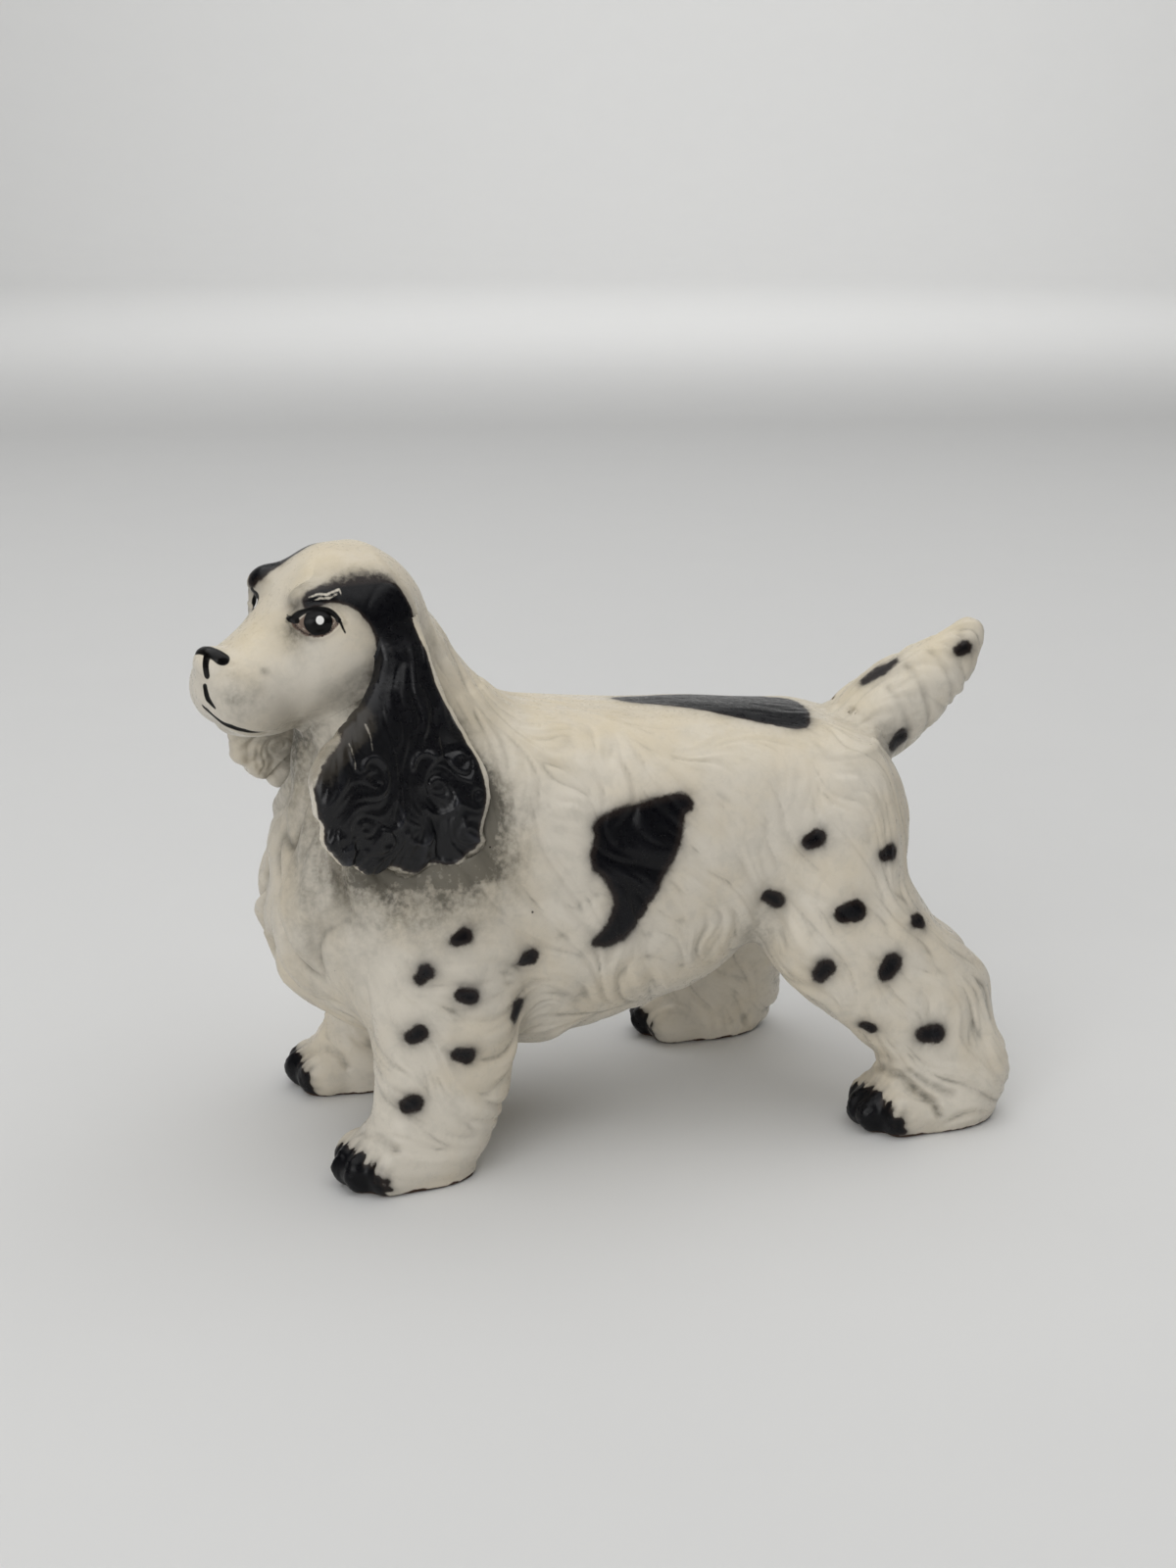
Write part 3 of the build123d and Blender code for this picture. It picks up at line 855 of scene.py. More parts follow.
# Creases pressed into the clay: casting, path, half width, depth
CREASES = [
    ("hindleg_left",
     [(47.2, -25.6, 11.4), (49.4, -31.2, 11.6), (52, -34, 9.2), (54.8, -35.4, 7), (56, -35.6, 4.4)],
     1.3, 0.9),
    ("hindleg_left", [(51, -32.1, 12.6), (54, -34.1, 10.6), (56.7, -35, 9), (58.9, -35.2, 8.2)], 1.1, 0.55),
    ("hindleg_right",
     [(21.5, 27, 12), (23.5, 32, 11.4), (26.5, 34.5, 9), (29.5, 35.4, 6.5), (31, 35.6, 4)], 1.3, 0.8),
    ("foreleg_right", [(-53.5, 16.5, 10.5), (-51, 14.4, 9), (-49.5, 13.8, 6.5)], 1, 0.5),
    ("foreleg_left", [(-54.5, -21, 10), (-51.5, -26.5, 10.5), (-48.5, -29, 9)], 1.2, 0.4),
    ("tail", [(48, -4.5, 77.5), (51.5, -7.2, 72.5), (54.5, -7.4, 68.4), (56.5, -4, 65.8)], 0.9, 0.5),
    ("tail", [(60, -4, 85), (62.5, -6.8, 80.5), (64, -6.8, 76), (64.5, -4.5, 72)], 1, 0.45),
    ("tail", [(65, -3.5, 87.5), (67.5, -5.6, 83.5), (69, -5.6, 79.5), (69.5, -3.5, 76.5)], 0.9, 0.4),
    ("tail", [(55.5, -5.5, 81), (58, -8, 77), (60, -7.6, 72.5), (60.5, -5, 68.5)], 1, 0.35),
]
for piece, path, half, depth in CREASES[5:6]:  # the tail's first groove is on both sides
    CREASES.append((piece, [(x, -y, z) for x, y, z in path], half, depth))


def eye_axes(points):
    """The eye's own flat axes, the same for both sides of the head: along, up."""
    s, t, z = head_axes(points)
    return s * math.cos(EYE_TURN) - np.abs(t) * math.sin(EYE_TURN), z


def almond(u, v):
    """Signed distance to the eye's opening, and to its upper and lower lid arcs."""
    u, v = u - EYE_MIDDLE[0], v - EYE_MIDDLE[1]
    upper = (EYE_HALF ** 2 + LID_RISE ** 2) / (2 * LID_RISE)
    lower = (EYE_HALF ** 2 + LID_DROP ** 2) / (2 * LID_DROP)
    top = np.hypot(u, v - LID_RISE + upper) - upper
    bottom = np.hypot(u, v + LID_DROP - lower) - lower
    return np.maximum(top, bottom), top, bottom


def line_2d(u, v, path, radii):
    """Distance in a plane to a tapered line."""
    return stroke_gap(np.column_stack([u, v]), path, radii)


# The far brow and eye socket differ a little from the near ones: place, reach, height
FAR_FORMS = [((11.5, -7.3, 109.0), 2.6, 1.2), ((13.5, -8.3, 103.4), 3.0, -0.5)]
LASH = [(1.9, 104.2), (1.35, 103.4), (0.6, 101.7)]
# Painted highlight lines on the near brow's black, in the eye's flat axes
BROW_HIGHLIGHT_LINES = [
    [(6.6, 107.9), (5.0, 108.3), (3.4, 108.1), (1.2, 108.7), (0.8, 107.7)],
    [(6.2, 107.3), (4.6, 107.7), (3.0, 107.5), (1.6, 108.0)],
]


def face_relief(points):
    """Lids, eyeballs, nose and the line of the mouth, modelled on the head."""
    u, v = eye_axes(points)
    s, t, _ = head_axes(points)
    beside = ease(5.0, 7.0, np.abs(t)) * ease(-1.0, 1.0, s)
    opening, top, bottom = almond(u, v)
    ball = 0.35 * ease(0.0, -1.6, opening) - 0.22 * ease(0.25, 0.0, opening)
    upper_lid = 0.42 * np.exp(-((top - 0.45) / 0.42) ** 2) * (v > EYE_MIDDLE[1] - 0.6)
    lower_lid = 0.25 * np.exp(-((bottom - 0.4) / 0.45) ** 2) * (v < EYE_MIDDLE[1] + 0.2)
    near_eye = ease(2.6, 1.2, opening)
    fold = -0.3 * np.exp(-((top - 1.35) / 0.45) ** 2) * (v > EYE_MIDDLE[1])
    relief = beside * near_eye * (ball + upper_lid + lower_lid + fold)
    for place, reach, raised in FAR_FORMS:
        gap = ((points - from_head([place])) ** 2).sum(1)
        relief += raised * np.exp(-gap / (2 * reach ** 2))
    relief += 0.28 * ease(0.5, -0.6, stroke_gap(points, PATHS["nose_bar"], 1.0))
    relief -= 0.4 * ease(0.7, -0.2, stroke_gap(points, PATHS["mouth"], 0.35))
    relief -= 0.3 * ease(0.6, -0.2, stroke_gap(points, PATHS["lip_tick"], 0.3))
    for nostril in ("nostril_left", "nostril_right"):
        relief -= 0.3 * ease(0.6, -0.3, stroke_gap(points, PATHS[nostril], 0.5))
    return relief


PATHS = {line: settle(HEAD_CLAY, from_head(places)) for line, places in FACE_LINES.items()}


def all_spots():
    """The spots of both sides: the right side's are the left's, shifted."""
    spots = [(np.array([x, y, z]), r) for x, y, z, r in SPOTS_LEFT + SPOTS_TAIL]
    for x, y, z, r in SPOTS_LEFT:
        x += rng.uniform(-4.0, 4.0) + (0.75 * HIND_STRIDE * ease(40.0, 22.0, z) if x > 20 else 0.0)
        z += rng.uniform(-3.5, 3.5)
        spots.append((np.array([x, -y, z]), r * rng.uniform(0.85, 1.15)))
    dabs = []
    for place, r in spots:
        lean = rng.uniform(-0.4, 1.0)
        reach = 0.45 * r * np.array([math.cos(lean), 0.0, math.sin(lean)])
        dabs.append((settle(BODY, [place - reach, place + reach]), (0.72 * r, 0.86 * r)))
    return dabs


SPOTS = all_spots()


def toe_edge(points):
    """How far points lie inside the black of the toes."""
    best = np.full(len(points), -LIMIT)
    for (x, y), turn, start in TOES.values():
        ahead = np.array([-math.cos(math.radians(turn)), math.sin(math.radians(turn))])
        across = np.array([-ahead[1], ahead[0]])
        rel = points[:, :2] - (x, y)
        run, side = rel @ ahead, rel @ across
        ragged = 0.45 * np.sin(side * 2.3 + x) + 0.3 * np.sin(side * 5.1 + y)
        ragged = ragged + 0.25 * np.sin(points[:, 2] * 3.1 + side)
        inside = run - start - 0.33 * points[:, 2] + ragged
        near = (np.abs(side) < 12.0) & (np.abs(run) < 16.0) & (points[:, 2] < 13.0)
        best = np.where(near, np.maximum(best, inside), best)
    return best


def where_near(near, distance):
    """A distance worked out only where near holds, and far away elsewhere."""
    whole = np.full(len(near), LIMIT)
    if near.any():
        whole[near] = distance(near)
    return whole


def black_areas(points):
    """Distances to the black brushwork on everything but the ears, each with its edge softness."""
    areas = [(stroke_gap(points, path, radii), 0.7) for path, radii in SPOTS]
    x, y, z = points.T
    for side, shift, rise in ((LEFT, 0.0, 0.0), (RIGHT, 7.0, -3.0)):
        areas.append((where_near(
            (y * side > 10.0) & (np.abs(x - shift) < 18.0) & (z > 34.0) & (z < 74.0),
            lambda near: outline_distance(x[near] - shift, z[near] - rise, outline_curve(FLANK_PATCH)),
        ), 0.8))
    areas.append((where_near(
        (z > 70.0) & (x > -4.0) & (x < 46.0),
        lambda near: outline_distance(x[near], y[near], outline_curve(SADDLE)),
    ), 0.5))
    s, t, up = head_axes(points)
    patch = where_near(
        (np.abs(t) > 2.0 + 4.5 * ease(5.0, 9.5, s)) & (np.abs(s) < 18.0) & (up > 88.0),
        lambda near: outline_distance(s[near], up[near], outline_curve(HEAD_PATCH)),
    )
    soft = 0.35 + 1.5 * ease(108.5, 110.0, up) * ease(9.0, 6.0, s)
    areas.append((patch, soft))
    areas.append((-toe_edge(points), 0.45))
    areas.append((stroke_gap(points, TAIL_STREAK, [0.9, 1.6, 0.8]), 1.0))
    areas.append((stroke_gap(points, PATHS["far_brow"], [1.4, 2.2, 2.2, 1.9, 1.4, 0.6]), 0.6))
    return areas


FRINGE = 14  # strands at the front of each ear
DARK_SHARE = 0.8  # how many of them are black


def ear_fringe(name, clay):
    """Strands of the ear's front fringe, where ivory shows between the black hairs."""
    strands = []
    for along in rng.uniform(0.1, 1.0, FRINGE):
        forward = 5.0 + 14.5 * along ** 1.1 - rng.uniform(-0.5, 1.4)
        up = 92.0 - 11.0 * along ** 0.85 - rng.uniform(0.0, 1.6)
        size = rng.uniform(2.5, 6.5)
        bend = rng.uniform(-1.0, 0.4)
        run = np.linspace(0.0, 1.0, 8)
        places = np.column_stack([forward - bend * size * run ** 2 * 0.5 - 0.6 * run, up - size * run])
        strands.append((ear_path(name, places, clay), np.linspace(rng.uniform(0.1, 0.24), 0.04, 8)))
    return strands


HALO_REACH = 0.95  # how far the airbrushed halo fades round the black
INKED = {  # radii along the inked lines of the face
    "nose_bar": [1.35, 1.3, 1.25, 1.4], "nose_stem": [0.8, 0.66, 0.72], "lip_tick": [0.65, 0.8, 0.35],
    "mouth": [0.6, 0.8, 0.8, 0.74, 0.6, 0.4, 0.16], "far_eye": [0.6, 1.5, 1.1],
}


def coverage(distance, soft):
    """How far inside an edge points lie, counted in widths of its softness."""
    return np.clip(-distance / soft, -LIMIT, LIMIT)


def paint(name, points, clay):
    """The brushwork of one casting as attributes: coverages are 0 at an edge and 1 a softness inside."""
    layers = {layer: np.full(len(points), -LIMIT) for layer in ("black", "white", "rust_and_ear_shade", "ink", "glint")}
    layers["halo"] = np.zeros(len(points))
    s, t, up = head_axes(points)

    def brush(layer, drawn):
        layers[layer] = np.maximum(layers[layer], drawn)

    if name in EARS:
        shift, _ = EAR_SHIFT[name]
        edge, _ = ear_edge(name, s, up)
        outer = np.abs(t) - ear_middle(s - shift, up)
        front = ease(4.0, 8.0, s - shift) * ease(76.0, 82.0, up) * ease(92.5, 88.0, up)
        wrapped = ease(4.0, 9.0, s - shift) * (name == "ear_left")
        behind = ease(3.0, -4.0, s - shift)
        high = ease(0.0, 1.5, s - shift) * ease(84.0, 91.0, up) * (name == "ear_left")
        rim = edge + 0.9 + 0.6 * behind - 1.2 * wrapped + 0.9 * front
        back = 0.75 * wrapped - 1.0 * (1 - wrapped) - 6.0 * high
        brush("black", np.minimum(coverage(rim - 3.0 * high, 0.35), coverage(back - outer, 0.5)))
        top = LIMIT * ease(99.0, 102.0, up) - (LIMIT - 1.0)
        brush("black", np.where((outer > -1.0) & (s - shift > -5.5), top, -LIMIT))
        for path, radii in ear_fringe(name, clay):
            dark = rng.random() < DARK_SHARE
            drawn = coverage(stroke_gap(points, path, radii * (2.2 if dark else 1.0)), 0.25)
            brush("black" if dark else "white", drawn)
        # Brown wash and painted shade on the ear's front band, beside the cheek
        brush("rust_and_ear_shade", 1.9 * front * ease(-4.5, -2.0, edge) - 1.0)
    else:
        for distance, soft in black_areas(points):
            brush("black", coverage(distance, soft))
            brush("halo", np.exp(-np.clip(distance, 0.0, LIMIT) / HALO_REACH))
    if name == "head":
        u, v = eye_axes(points)
        beside = (np.abs(t) > 5.0) & (s > 0.0)
        opening, _, _ = almond(u, v)
        far = np.where(beside, 0.0, LIMIT)
        near_side = np.where(t > 0, far, LIMIT)
        iris = np.hypot(u - IRIS[0], v - IRIS[1]) - IRIS[2]
        brush("white", coverage(opening + far, 0.25))
        rim = np.abs(opening + 0.1) - np.where(v < EYE_MIDDLE[1] + 0.3, 0.38, 0.0)
        around = np.maximum(opening + 0.2, np.abs(v - EYE_MIDDLE[1]) - 2.0) + 0.25
        brush("rust_and_ear_shade", coverage(np.minimum(np.maximum(rim, v - EYE_MIDDLE[1] - 0.2), around) + far, 0.35))
        outline = np.abs(opening - 0.05) - np.where(v > EYE_MIDDLE[1] - 0.2, 0.36, 0.1)
        corner = line_2d(u, v, [(8.9, 104.0), (9.6, 104.1), (10.3, 104.3)], [0.55, 0.4, 0.1])
        lash = line_2d(u, v, LASH, [0.35, 0.25, 0.16])
        ink = np.minimum.reduce([np.maximum(iris, opening), outline, corner, lash]) + far
        ink = np.where(t > 0, ink, opening - 0.2 + far)
        for path, radii in INKED.items():
            ink = np.minimum(ink, stroke_gap(points, PATHS[path], radii))
        brush("ink", coverage(ink, 0.22))
        # Painted highlights: white lines on the near brow
        for line in BROW_HIGHLIGHT_LINES:
            radii = [0.06] + [0.15] * (len(line) - 2) + [0.06]
            brush("white", coverage(line_2d(u, v, line, radii) + near_side, 0.2))
        glint = np.hypot((u - GLINT[0]) * 1.05, v - GLINT[1]) - GLINT[2] + near_side
        far_glint = stroke_gap(points, PATHS["far_glint"], 0.45)
        brush("glint", coverage(np.minimum(glint, far_glint), 0.2))
    return layers


# How dark the wash and painted shade lie round single places: place, reach, strength
WASH_AND_SHADE_PLACES = [
    ((-62, -2, 76), 7, 0.35), ((-57, -16, 61), 6, 0.35), ((-38, -24.5, 58), 7, 0.9),
    ((-47, -22, 58), 6, 0.8), ((-29, -24, 62), 6, 0.6), ((-38, 24.5, 58), 7, 0.8), ((-29, 24, 62), 6, 0.5),
    ((-56, 12, 60), 6, 0.4), ((-26, -22, 72), 5, 0.35), ((-26, 22, 72), 5, 0.35), ((-58, 8, 76), 8, 0.4),
    ((-60, -14, 68), 6, 0.3), ((-60, -8, 50), 14, 0.12),
]
HEAD_WASH_AND_SHADE_PLACES = [
    ((14.8, 10.2, 103), 2.6, 0.75), ((14.8, -10.2, 103), 2.6, 0.75), ((24.7, 8.6, 91.5), 3.4, 0.5),
    ((20, 8.8, 95.5), 0.5, 0.9), ((6, 15.5, 86.5), 2.8, 0.5), ((8, -14.5, 86.5), 5, 0.55),
    ((14.5, 10, 100.2), 2.2, 0.25), ((25, -1, 84.5), 3, 0.12), ((13, 8.2, 107), 1.6, 0.5),
    ((8, -21, 80), 7, 0.5), ((10, -2, 79), 8, 0.35),
]


def wash_and_painted_shade(name, points, normals):
    """Grey-brown wash and painted shade: darker under overhangs, in grooves and round the ears."""
    shade = np.zeros(len(points))
    # Painted shade where nearby clay closes in over the surface
    for reach, weight in ((1.5, 0.4), (3.0, 0.35), (6.0, 0.35)):
        open_gap = SURROUND.sample(points + normals * reach)
        shade += weight * np.clip(1.0 - open_gap / reach, 0.0, 1.0) * (0.6 if name == "head" else 1.0)
    # Painted shade on the left ear's front band, between cheek and ear
    if name == "ear_left":
        s, _, up = head_axes(points)
        shade += 0.5 * ease(3.0, 7.0, s) * ease(76.0, 84.0, up) * ease(94.0, 88.0, up)
    # Painted shadow under and behind the ears, on the other castings
    if name not in EARS:
        for ear in EAR_CLAY:
            gap = np.clip(ear.sample(points), 0.0, 20.0)
            below = ease(76.0, 66.0, points[:, 2])
            strength = 0.15 if name == "head" else 0.5 + 0.45 * below
            shade += strength * np.exp(-gap / (2.8 + 1.0 * below)) * ease(104.0, 92.0, points[:, 2])
    # Wash and painted shade round single places
    head_places = [(from_head([place])[0], reach, strength) for place, reach, strength in HEAD_WASH_AND_SHADE_PLACES]
    for place, reach, strength in WASH_AND_SHADE_PLACES + head_places:
        gap = ((points - np.array(place)) ** 2).sum(1)
        shade += strength * np.exp(-gap / (2 * reach ** 2)) * 0.8
    # Painted shade along the creases
    for piece, path, half, depth in CREASES:
        if piece == name:
            gap = stroke_gap(points, settle(BODY, path), half * 0.6)
            shade += 0.9 * depth * ease(0.8, -half, gap)
    return np.clip(shade, 0.0, 1.5)


# ---------------------------------------------------------------- glazes
class Glaze:
    """A node material, built a node at a time."""

    def __init__(self, name):
        self.material = bpy.data.materials.new(name)
        self.material.use_nodes = True
        self.tree = self.material.node_tree
        self.tree.nodes.clear()
        self.place = self.node("ShaderNodeTexCoord").outputs["Object"]

    def node(self, kind, inputs=None, **settings):
        made = self.tree.nodes.new(kind)
        for key, value in settings.items():
            setattr(made, key, value)
        for key, value in (inputs or {}).items():
            if isinstance(value, bpy.types.NodeSocket):
                self.tree.links.new(value, made.inputs[key])
            else:
                made.inputs[key].default_value = value
        return made

    def layer(self, name):
        """A casting's own painted layer."""
        return self.node("ShaderNodeAttribute", attribute_name=name).outputs["Fac"]

    def noise(self, size_mm, detail=3.0, rough=0.55, warp=0.0):
        """Noise with features of about a size."""
        values = {"Vector": self.place, "Scale": 1.0 / (size_mm * MM), "Detail": detail, "Roughness": rough,
                  "Distortion": warp}
        return self.node("ShaderNodeTexNoise", values).outputs["Fac"]

    def maths(self, operation, a, b, clamp=False):
        return self.node("ShaderNodeMath", {0: a, 1: b}, operation=operation, use_clamp=clamp).outputs[0]

    def times(self, a, b, clamp=False):
        return self.maths("MULTIPLY", a, b, clamp)

    def plus(self, a, b, clamp=False):
        return self.maths("ADD", a, b, clamp)

    def between(self, value, low, high, out_low=0.0, out_high=1.0):
        """A value eased from low to high."""
        values = {"Value": value, "From Min": low, "From Max": high, "To Min": out_low, "To Max": out_high}
        return self.node("ShaderNodeMapRange", values, interpolation_type="SMOOTHSTEP").outputs[0]

    def bump(self, height, strength, size_mm, over=None, invert=False):
        """The normal of a relief, over another relief's."""
        values = {"Height": height, "Strength": strength, "Distance": size_mm * MM}
        if over is not None:
            values["Normal"] = over
        return self.node("ShaderNodeBump", values, invert=invert).outputs[0]

    def mix(self, factor, a, b):
        """Colour b over colour a."""
        return self.node("ShaderNodeMix", {0: factor, 6: a, 7: b}, data_type="RGBA").outputs[2]


def colour(red, green, blue):
    return (red, green, blue, 1.0)


IVORY = colour(0.70, 0.65, 0.56)
CREAM = colour(0.69, 0.62, 0.50)
STRAW = colour(0.66, 0.57, 0.40)
COOL_GREY = colour(0.51, 0.48, 0.415)
# Grey-brown of the wash and of the painted shade
WASH_AND_SHADE_BROWN = colour(0.085, 0.078, 0.060)
SOFT_BLACK = colour(0.035, 0.033, 0.035)
BROWN_BLACK = colour(0.022, 0.016, 0.014)
BLUE_BLACK = colour(0.0028, 0.0029, 0.0042)
# Painted highlight grey for the ridges of the black
RIDGE_HIGHLIGHT_GREY = colour(0.045, 0.047, 0.058)
# Worn white of rims and strands, and the painted highlight lines on the brow
WORN_WHITE_AND_HIGHLIGHT = colour(0.66, 0.61, 0.52)
RUST = colour(0.088, 0.034, 0.018)
# Brown wash and painted shade on the ear's front band
EAR_BROWN_WASH_AND_SHADE = colour(0.065, 0.054, 0.039)
INK = colour(0.0025, 0.0022, 0.0022)
BARE_BROWN = colour(0.060, 0.032, 0.020)
BISCUIT = colour(0.46, 0.39, 0.30)


def glazed(name, ear=False):
    """The hand-painted glaze: ivory ground, wash and painted shade in the hollows, black brushwork, details
    on top.
    """
    g = Glaze(name)
    broad, middle, fine = g.noise(16.0), g.noise(4.5, 4.0), g.noise(1.1, 4.0, 0.6)
    grit = g.noise(0.35, 2.0, 0.7)
    ground = g.mix(g.between(broad, 0.38, 0.66), IVORY, CREAM)
    mottle = g.times(g.between(g.noise(3.2, 5.0, 0.62, 0.4), 0.46, 0.68), 0.3)
    ground = g.mix(mottle, ground, COOL_GREY)
    # A yellower tone on surfaces that face up, high on the dog
    upward_tint = g.times(g.layer("straw"), g.between(g.noise(9.0, 5.0, 0.65), 0.35, 0.7, 0.35, 1.0))
    ground = g.mix(upward_tint, ground, STRAW)
    freckle = g.times(g.between(grit, 0.60, 0.80), 0.16)
    ground = g.mix(freckle, ground, COOL_GREY)

    # Grey-brown wash and painted shade gathered in the hollows
    uneven = g.times(g.between(middle, 0.3, 0.7, 0.65, 1.15), g.between(fine, 0.32, 0.68, 0.72, 1.18))
    wash_and_shade_amount = g.times(g.layer("wash_and_shade"), uneven, clamp=True)
    ground = g.mix(g.times(wash_and_shade_amount, 0.88), ground, WASH_AND_SHADE_BROWN)
    # Painted shade and wash in the grooves between the hair's tufts
    groove_wash_and_shade = g.times(g.layer("groove"), g.between(middle, 0.3, 0.75, 0.2, 0.8), clamp=True)
    ground = g.mix(groove_wash_and_shade, ground, WASH_AND_SHADE_BROWN)

    # Pinholes and specks where the glaze crawled in firing
    cells = g.node("ShaderNodeTexVoronoi", {"Vector": g.place, "Scale": 1.0 / (7.0 * MM), "Randomness": 1.0})
    chosen = g.node("ShaderNodeSeparateColor", {"Color": cells.outputs["Color"]})
    radius = g.between(chosen.outputs[0], 0.55, 1.0, 0.0, 0.05)
    hole = g.between(g.maths("SUBTRACT", radius, cells.outputs["Distance"]), 0.0, 0.012)
    ground = g.mix(g.times(hole, 0.85), ground, BROWN_BLACK)

    # Brush edges wander a little
    wander = g.plus(g.between(fine, 0.25, 0.75, -0.24, 0.24), g.between(grit, 0.3, 0.7, -0.06, 0.06))
    airbrushed = g.times(g.layer("halo"), g.between(middle, 0.3, 0.7, 0.35, 0.85), clamp=True)
    ground = g.mix(airbrushed, ground, SOFT_BLACK)
    stroke = g.plus(g.layer("black"), wander)
    covered = g.between(stroke, -0.5, 0.5)
    depth = g.between(stroke, 0.2, 2.2)
    black = g.mix(depth, BROWN_BLACK, BLUE_BLACK)
    # Painted highlight: lighter grey on the black along the relief's ridges, standing in for gloss
    ridge = g.between(g.layer("relief"), 0.45, 1.15)
    ridge_highlight = g.times(ridge, g.between(middle, 0.42, 0.7, 0.05, 0.6 if ear else 0.1), clamp=True)
    black = g.mix(ridge_highlight, black, RIDGE_HIGHLIGHT_GREY)
    skin_colour = g.mix(covered, ground, black)

    steady = g.between(fine, 0.3, 0.7, -0.3, 0.3)
    rust_and_ear_shade = g.between(g.plus(g.layer("rust_and_ear_shade"), steady), -0.5, 0.6)
    white = g.between(g.plus(g.layer("white"), steady), -0.5, 0.5)
    if ear:
        # On the ears this layer is brown wash and painted shade on the front band
        skin_colour = g.mix(g.times(rust_and_ear_shade, 0.4), skin_colour, EAR_BROWN_WASH_AND_SHADE)
        skin_colour = g.mix(g.times(white, 0.4), skin_colour, WORN_WHITE_AND_HIGHLIGHT)
    else:
        skin_colour = g.mix(g.times(white, 0.93), skin_colour, WORN_WHITE_AND_HIGHLIGHT)
        skin_colour = g.mix(g.times(rust_and_ear_shade, 0.8), skin_colour, RUST)
    inked = g.between(g.layer("ink"), -0.5, 0.5)
    skin_colour = g.mix(inked, skin_colour, INK)
    glint = g.between(g.layer("glint"), -0.5, 0.5)
    skin_colour = g.mix(glint, skin_colour, colour(0.86, 0.85, 0.82))

    # The foot rim, wiped bare before firing
    height = g.node("ShaderNodeSeparateXYZ", {"Vector": g.place}).outputs[2]
    rim_top = g.times(g.between(middle, 0.3, 0.7, 0.35, 1.05), MM)
    rim = g.between(g.maths("SUBTRACT", rim_top, height), 0.0, 0.25 * MM)
    skin_colour = g.mix(rim, skin_colour, BARE_BROWN)
    under = g.between(height, 0.12 * MM, 0.02 * MM)
    skin_colour = g.mix(under, skin_colour, BISCUIT)

    dull = g.plus(g.between(fine, 0.3, 0.7, 0.24, 0.38), g.times(wash_and_shade_amount, 0.18))
    bare = g.maths("MAXIMUM", rim, hole)
    dull = g.plus(dull, g.times(bare, 0.4), clamp=True)
    waves = g.bump(middle, 0.35, 0.25)
    peel = g.bump(fine, 0.3, 0.08, over=waves)
    pits = g.bump(hole, 0.6, 0.2, over=peel, invert=True)
    shader = g.node("ShaderNodeBsdfPrincipled", {
        "Base Color": skin_colour, "Roughness": dull, "Normal": pits, "IOR": 1.5,
        "Specular IOR Level": 0.3 if ear else 0.18, "Coat Weight": 0.12 if ear else 0.03,
        "Coat Roughness": 0.18,
    })
    g.node("ShaderNodeOutputMaterial", {"Surface": shader.outputs[0]})
    return g.material


# ---------------------------------------------------------------- the castings
def carve(name, points):
    """The relief of one casting in millimetres, and how tall its hair is there."""
    if name in EARS:
        return ear_relief(name, points), np.zeros(len(points))
    if name == "head":
        return face_relief(points), np.zeros(len(points))
    relief, tall = hair_relief(points)
    smooth = ease(0.5, 6.0, HEAD_CLAY.sample(points)) * ease(0.8, 4.0, points[:, 2])
    for (x, y), _, _ in TOES.values():
        toes = np.hypot(points[:, 0] - x, points[:, 1] - y) + 1.2 * np.clip(points[:, 2] - 6.0, 0.0, 20.0)
        smooth = smooth * ease(7.5, 12.0, toes)
    return relief * smooth, tall * smooth


def dog_piece(name, material):
    """One casting as a finished mesh object."""
    grain = FINE_GRAIN if name == "head" or name in EARS else GRAIN
    whole, cut, own = model(name, grain)
    points, quads = largest_part(*skin(cut))
    normals = whole.slope(points)
    relief, tall = carve(name, points)
    layers = paint(name, points, own)
    # Wash and painted shade: darker in hollows, creases and under the ears
    layers["wash_and_shade"] = wash_and_painted_shade(name, points, normals)
    # Where the hair's grooves lie: painted shade and wash go there
    layers["groove"] = ease(0.38, 0.0, relief / (tall + 0.12)) * np.clip(tall / 0.9, 0.0, 1.0)
    layers["relief"] = relief
    # Surfaces that face up, high on the dog, get a yellower tone
    upward = ease(0.1, 0.9, normals[:, 2]) * ease(60.0, 84.0, points[:, 2])
    layers["straw"] = 0.75 * upward
    lift = relief - 0.5 * tall
    if name in EARS:
        lift = (relief - 0.4) * ease(106.0, 98.0, points[:, 2])
    for crease_name, path, half, depth in CREASES:
        if crease_name == name:
            gap = stroke_gap(points, settle(BODY, path), 0.2)
            lift = lift - depth * ease(half, -0.2 * half, gap)
    flat = ease(0.1, 1.2, points[:, 2])
    points = points + normals * (lift * flat)[:, None]
    mesh = bpy.data.meshes.new(name)
    mesh.vertices.add(len(points))
    mesh.vertices.foreach_set("co", (points * MM).astype(np.float32).ravel())
    mesh.loops.add(quads.size)
    mesh.loops.foreach_set("vertex_index", quads.astype(np.int32).ravel())
    mesh.polygons.add(len(quads))
    mesh.polygons.foreach_set("loop_start", np.arange(0, quads.size, 4, dtype=np.int32))
    mesh.update(calc_edges=True)
    mesh.validate()
    mesh.shade_smooth()
    for layer, values in layers.items():
        mesh.attributes.new(layer, "FLOAT", "POINT").data.foreach_set("value", values.astype(np.float32))
    mesh.materials.append(material)
    piece = bpy.data.objects.new("glazed_" + name, mesh)
    bpy.context.scene.collection.objects.link(piece)
    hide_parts(name)
    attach(piece, "root")


body_glaze = glazed("ivory_glaze")
ear_glaze = glazed("black_ear_glaze", ear=True)
for casting_node in JOINING:
    dog_piece(casting_node, ear_glaze if casting_node in EARS else body_glaze)


# ---------------------------------------------------------------- the studio
SWEEP_SIDES = 96
PAPER = colour(0.70, 0.70, 0.692)
PAPER_PALE = colour(0.715, 0.715, 0.705)
DOG_MIDDLE = (0.0, 0.0, 0.05)  # where the boxes by the dog are aimed
WORLD_LIGHT = (0.50, 0.60)  # the world's brightness at the horizon and overhead
LENS = 49.5
CAMERA_PLACE = (-0.1166, -0.3772, 0.1852)
CAMERA_PITCH = 16.918  # degrees below level
CAMERA_YAW = -16.67


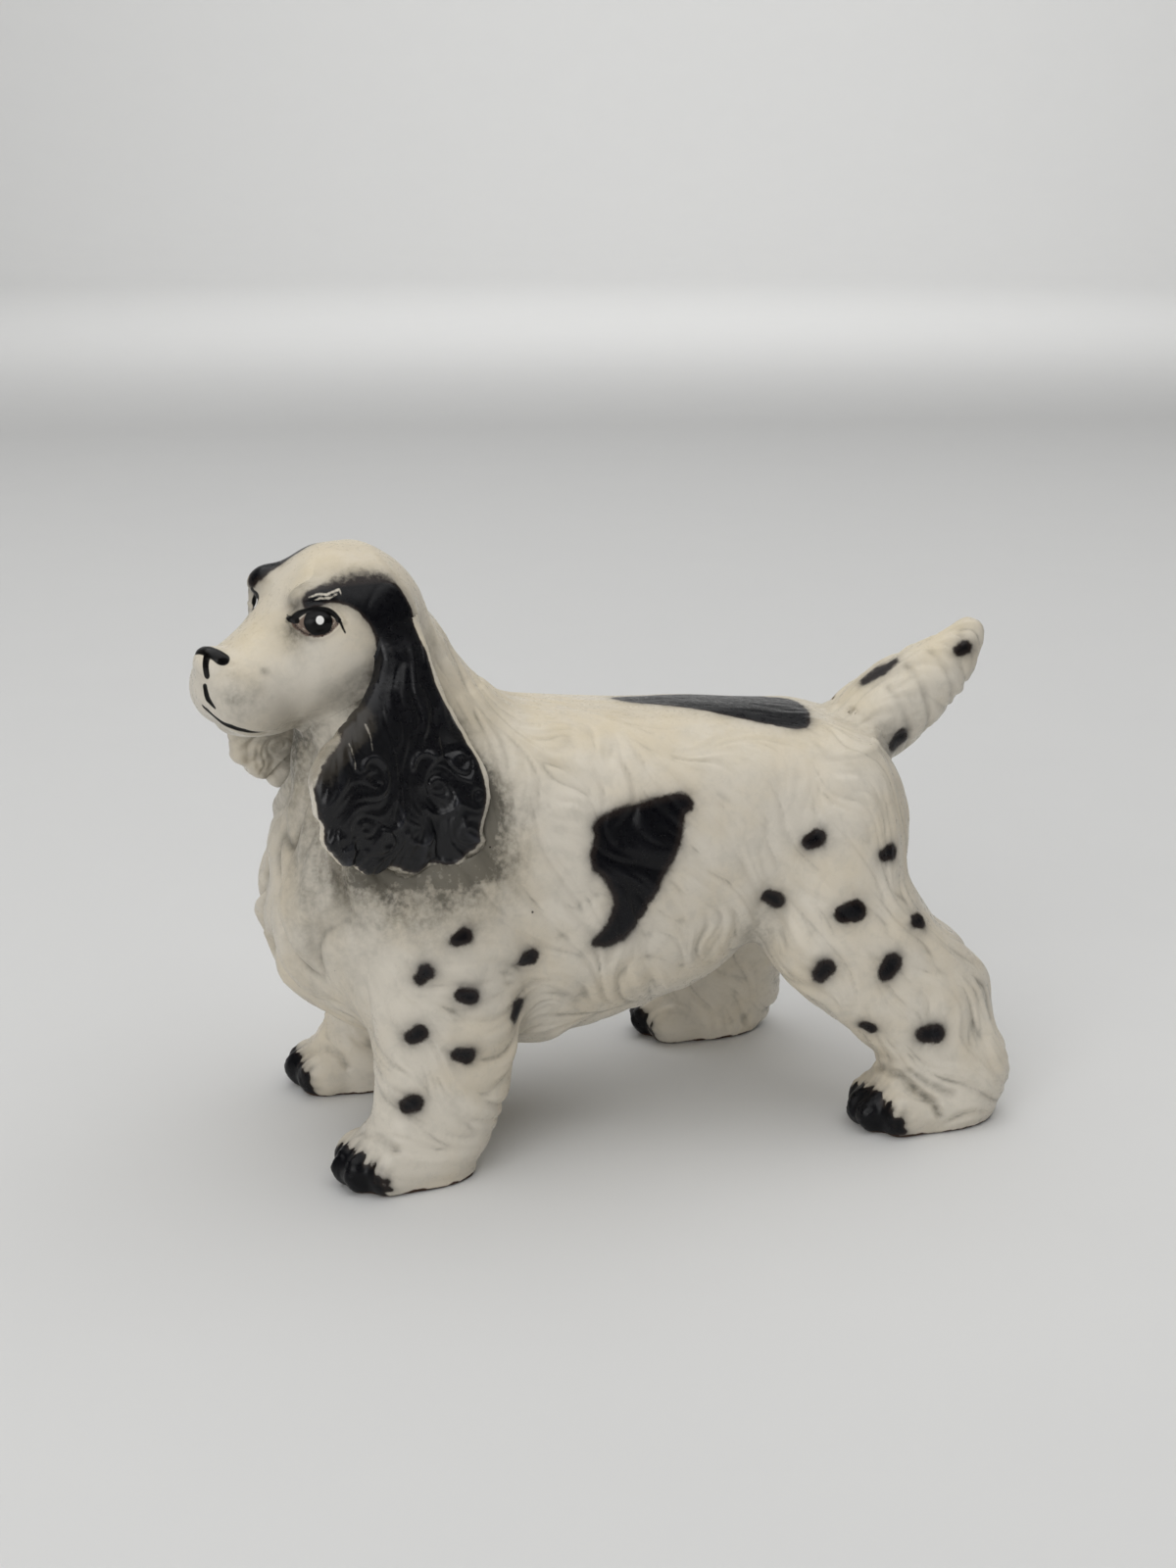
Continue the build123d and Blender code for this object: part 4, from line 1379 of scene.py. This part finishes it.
def sweep(radius, rise):
    """A round seamless floor whose rim turns up into a low wall."""
    profile = [(0.0, 0.0), (0.9 * radius, 0.0), (radius, 0.0)]
    for a in np.linspace(0.1, math.pi / 2, 12):
        profile.append((radius + rise * math.sin(a), rise * (1 - math.cos(a))))
    profile += [(radius + rise, 2.2 * rise)]
    around = np.linspace(0, 2 * math.pi, SWEEP_SIDES + 1)[:-1]
    points = [(r * math.cos(a), r * math.sin(a), z) for r, z in profile[1:] for a in around]
    faces = [tuple(range(SWEEP_SIDES))]
    for ring in range(len(profile) - 2):
        low, high = ring * SWEEP_SIDES, (ring + 1) * SWEEP_SIDES
        for i in range(SWEEP_SIDES):
            j = (i + 1) % SWEEP_SIDES
            faces.append((low + i, high + i, high + j, low + j))
    mesh = bpy.data.meshes.new("studio_sweep")
    mesh.from_pydata(points, [], faces)
    mesh.shade_smooth()
    floor = bpy.data.objects.new("studio_sweep", mesh)
    bpy.context.scene.collection.objects.link(floor)
    paper = Glaze("pale_paper")
    tone = paper.mix(paper.noise(40.0), PAPER, PAPER_PALE)
    shader = paper.node("ShaderNodeBsdfPrincipled", {"Base Color": tone, "Roughness": 0.8})
    paper.node("ShaderNodeOutputMaterial", {"Surface": shader.outputs[0]})
    mesh.materials.append(paper.material)


def soft_light(name, place, aim, size, power):
    """A square softbox at a place, turned towards a point."""
    data = bpy.data.lights.new(name, "AREA")
    data.shape, data.size, data.energy = "SQUARE", size, power
    light = bpy.data.objects.new(name, data)
    light.location = place
    light.rotation_euler = (Vector(aim) - Vector(place)).to_track_quat("-Z", "Y").to_euler()
    bpy.context.scene.collection.objects.link(light)


sweep(2.4, 0.8)
soft_light("overhead_box", (0.05, 0.1, 1.3), DOG_MIDDLE, 2.1, 21.0)
soft_light("front_fill", (-0.9, -1.1, 0.7), DOG_MIDDLE, 1.1, 9.5)
soft_light("wall_wash", (0.6, 1.6, 1.4), (1.0, 3.4, 0.5), 1.6, 24.0)
world = bpy.data.worlds.new("studio")
world.use_nodes = True
sky = world.node_tree
direction = sky.nodes.new("ShaderNodeTexCoord")
split = sky.nodes.new("ShaderNodeSeparateXYZ")
climb = sky.nodes.new("ShaderNodeMapRange")
sky.links.new(direction.outputs["Generated"], split.inputs[0])
sky.links.new(split.outputs[2], climb.inputs[0])
for socket, value in zip(climb.inputs[1:5], (0.0, 0.9, *WORLD_LIGHT)):
    socket.default_value = value
sky.links.new(climb.outputs[0], sky.nodes["Background"].inputs[1])
bpy.context.scene.world = world
bpy.context.scene.view_settings.view_transform = "Standard"

camera_data = bpy.data.cameras.new("camera")
camera_data.sensor_width = 36.0
camera_data.sensor_fit = "AUTO"
camera_data.lens = LENS
camera = bpy.data.objects.new("camera", camera_data)
camera.location = CAMERA_PLACE
camera.rotation_euler = (math.radians(90 - CAMERA_PITCH), 0.0, math.radians(CAMERA_YAW))
bpy.context.scene.collection.objects.link(camera)
bpy.context.scene.camera = camera
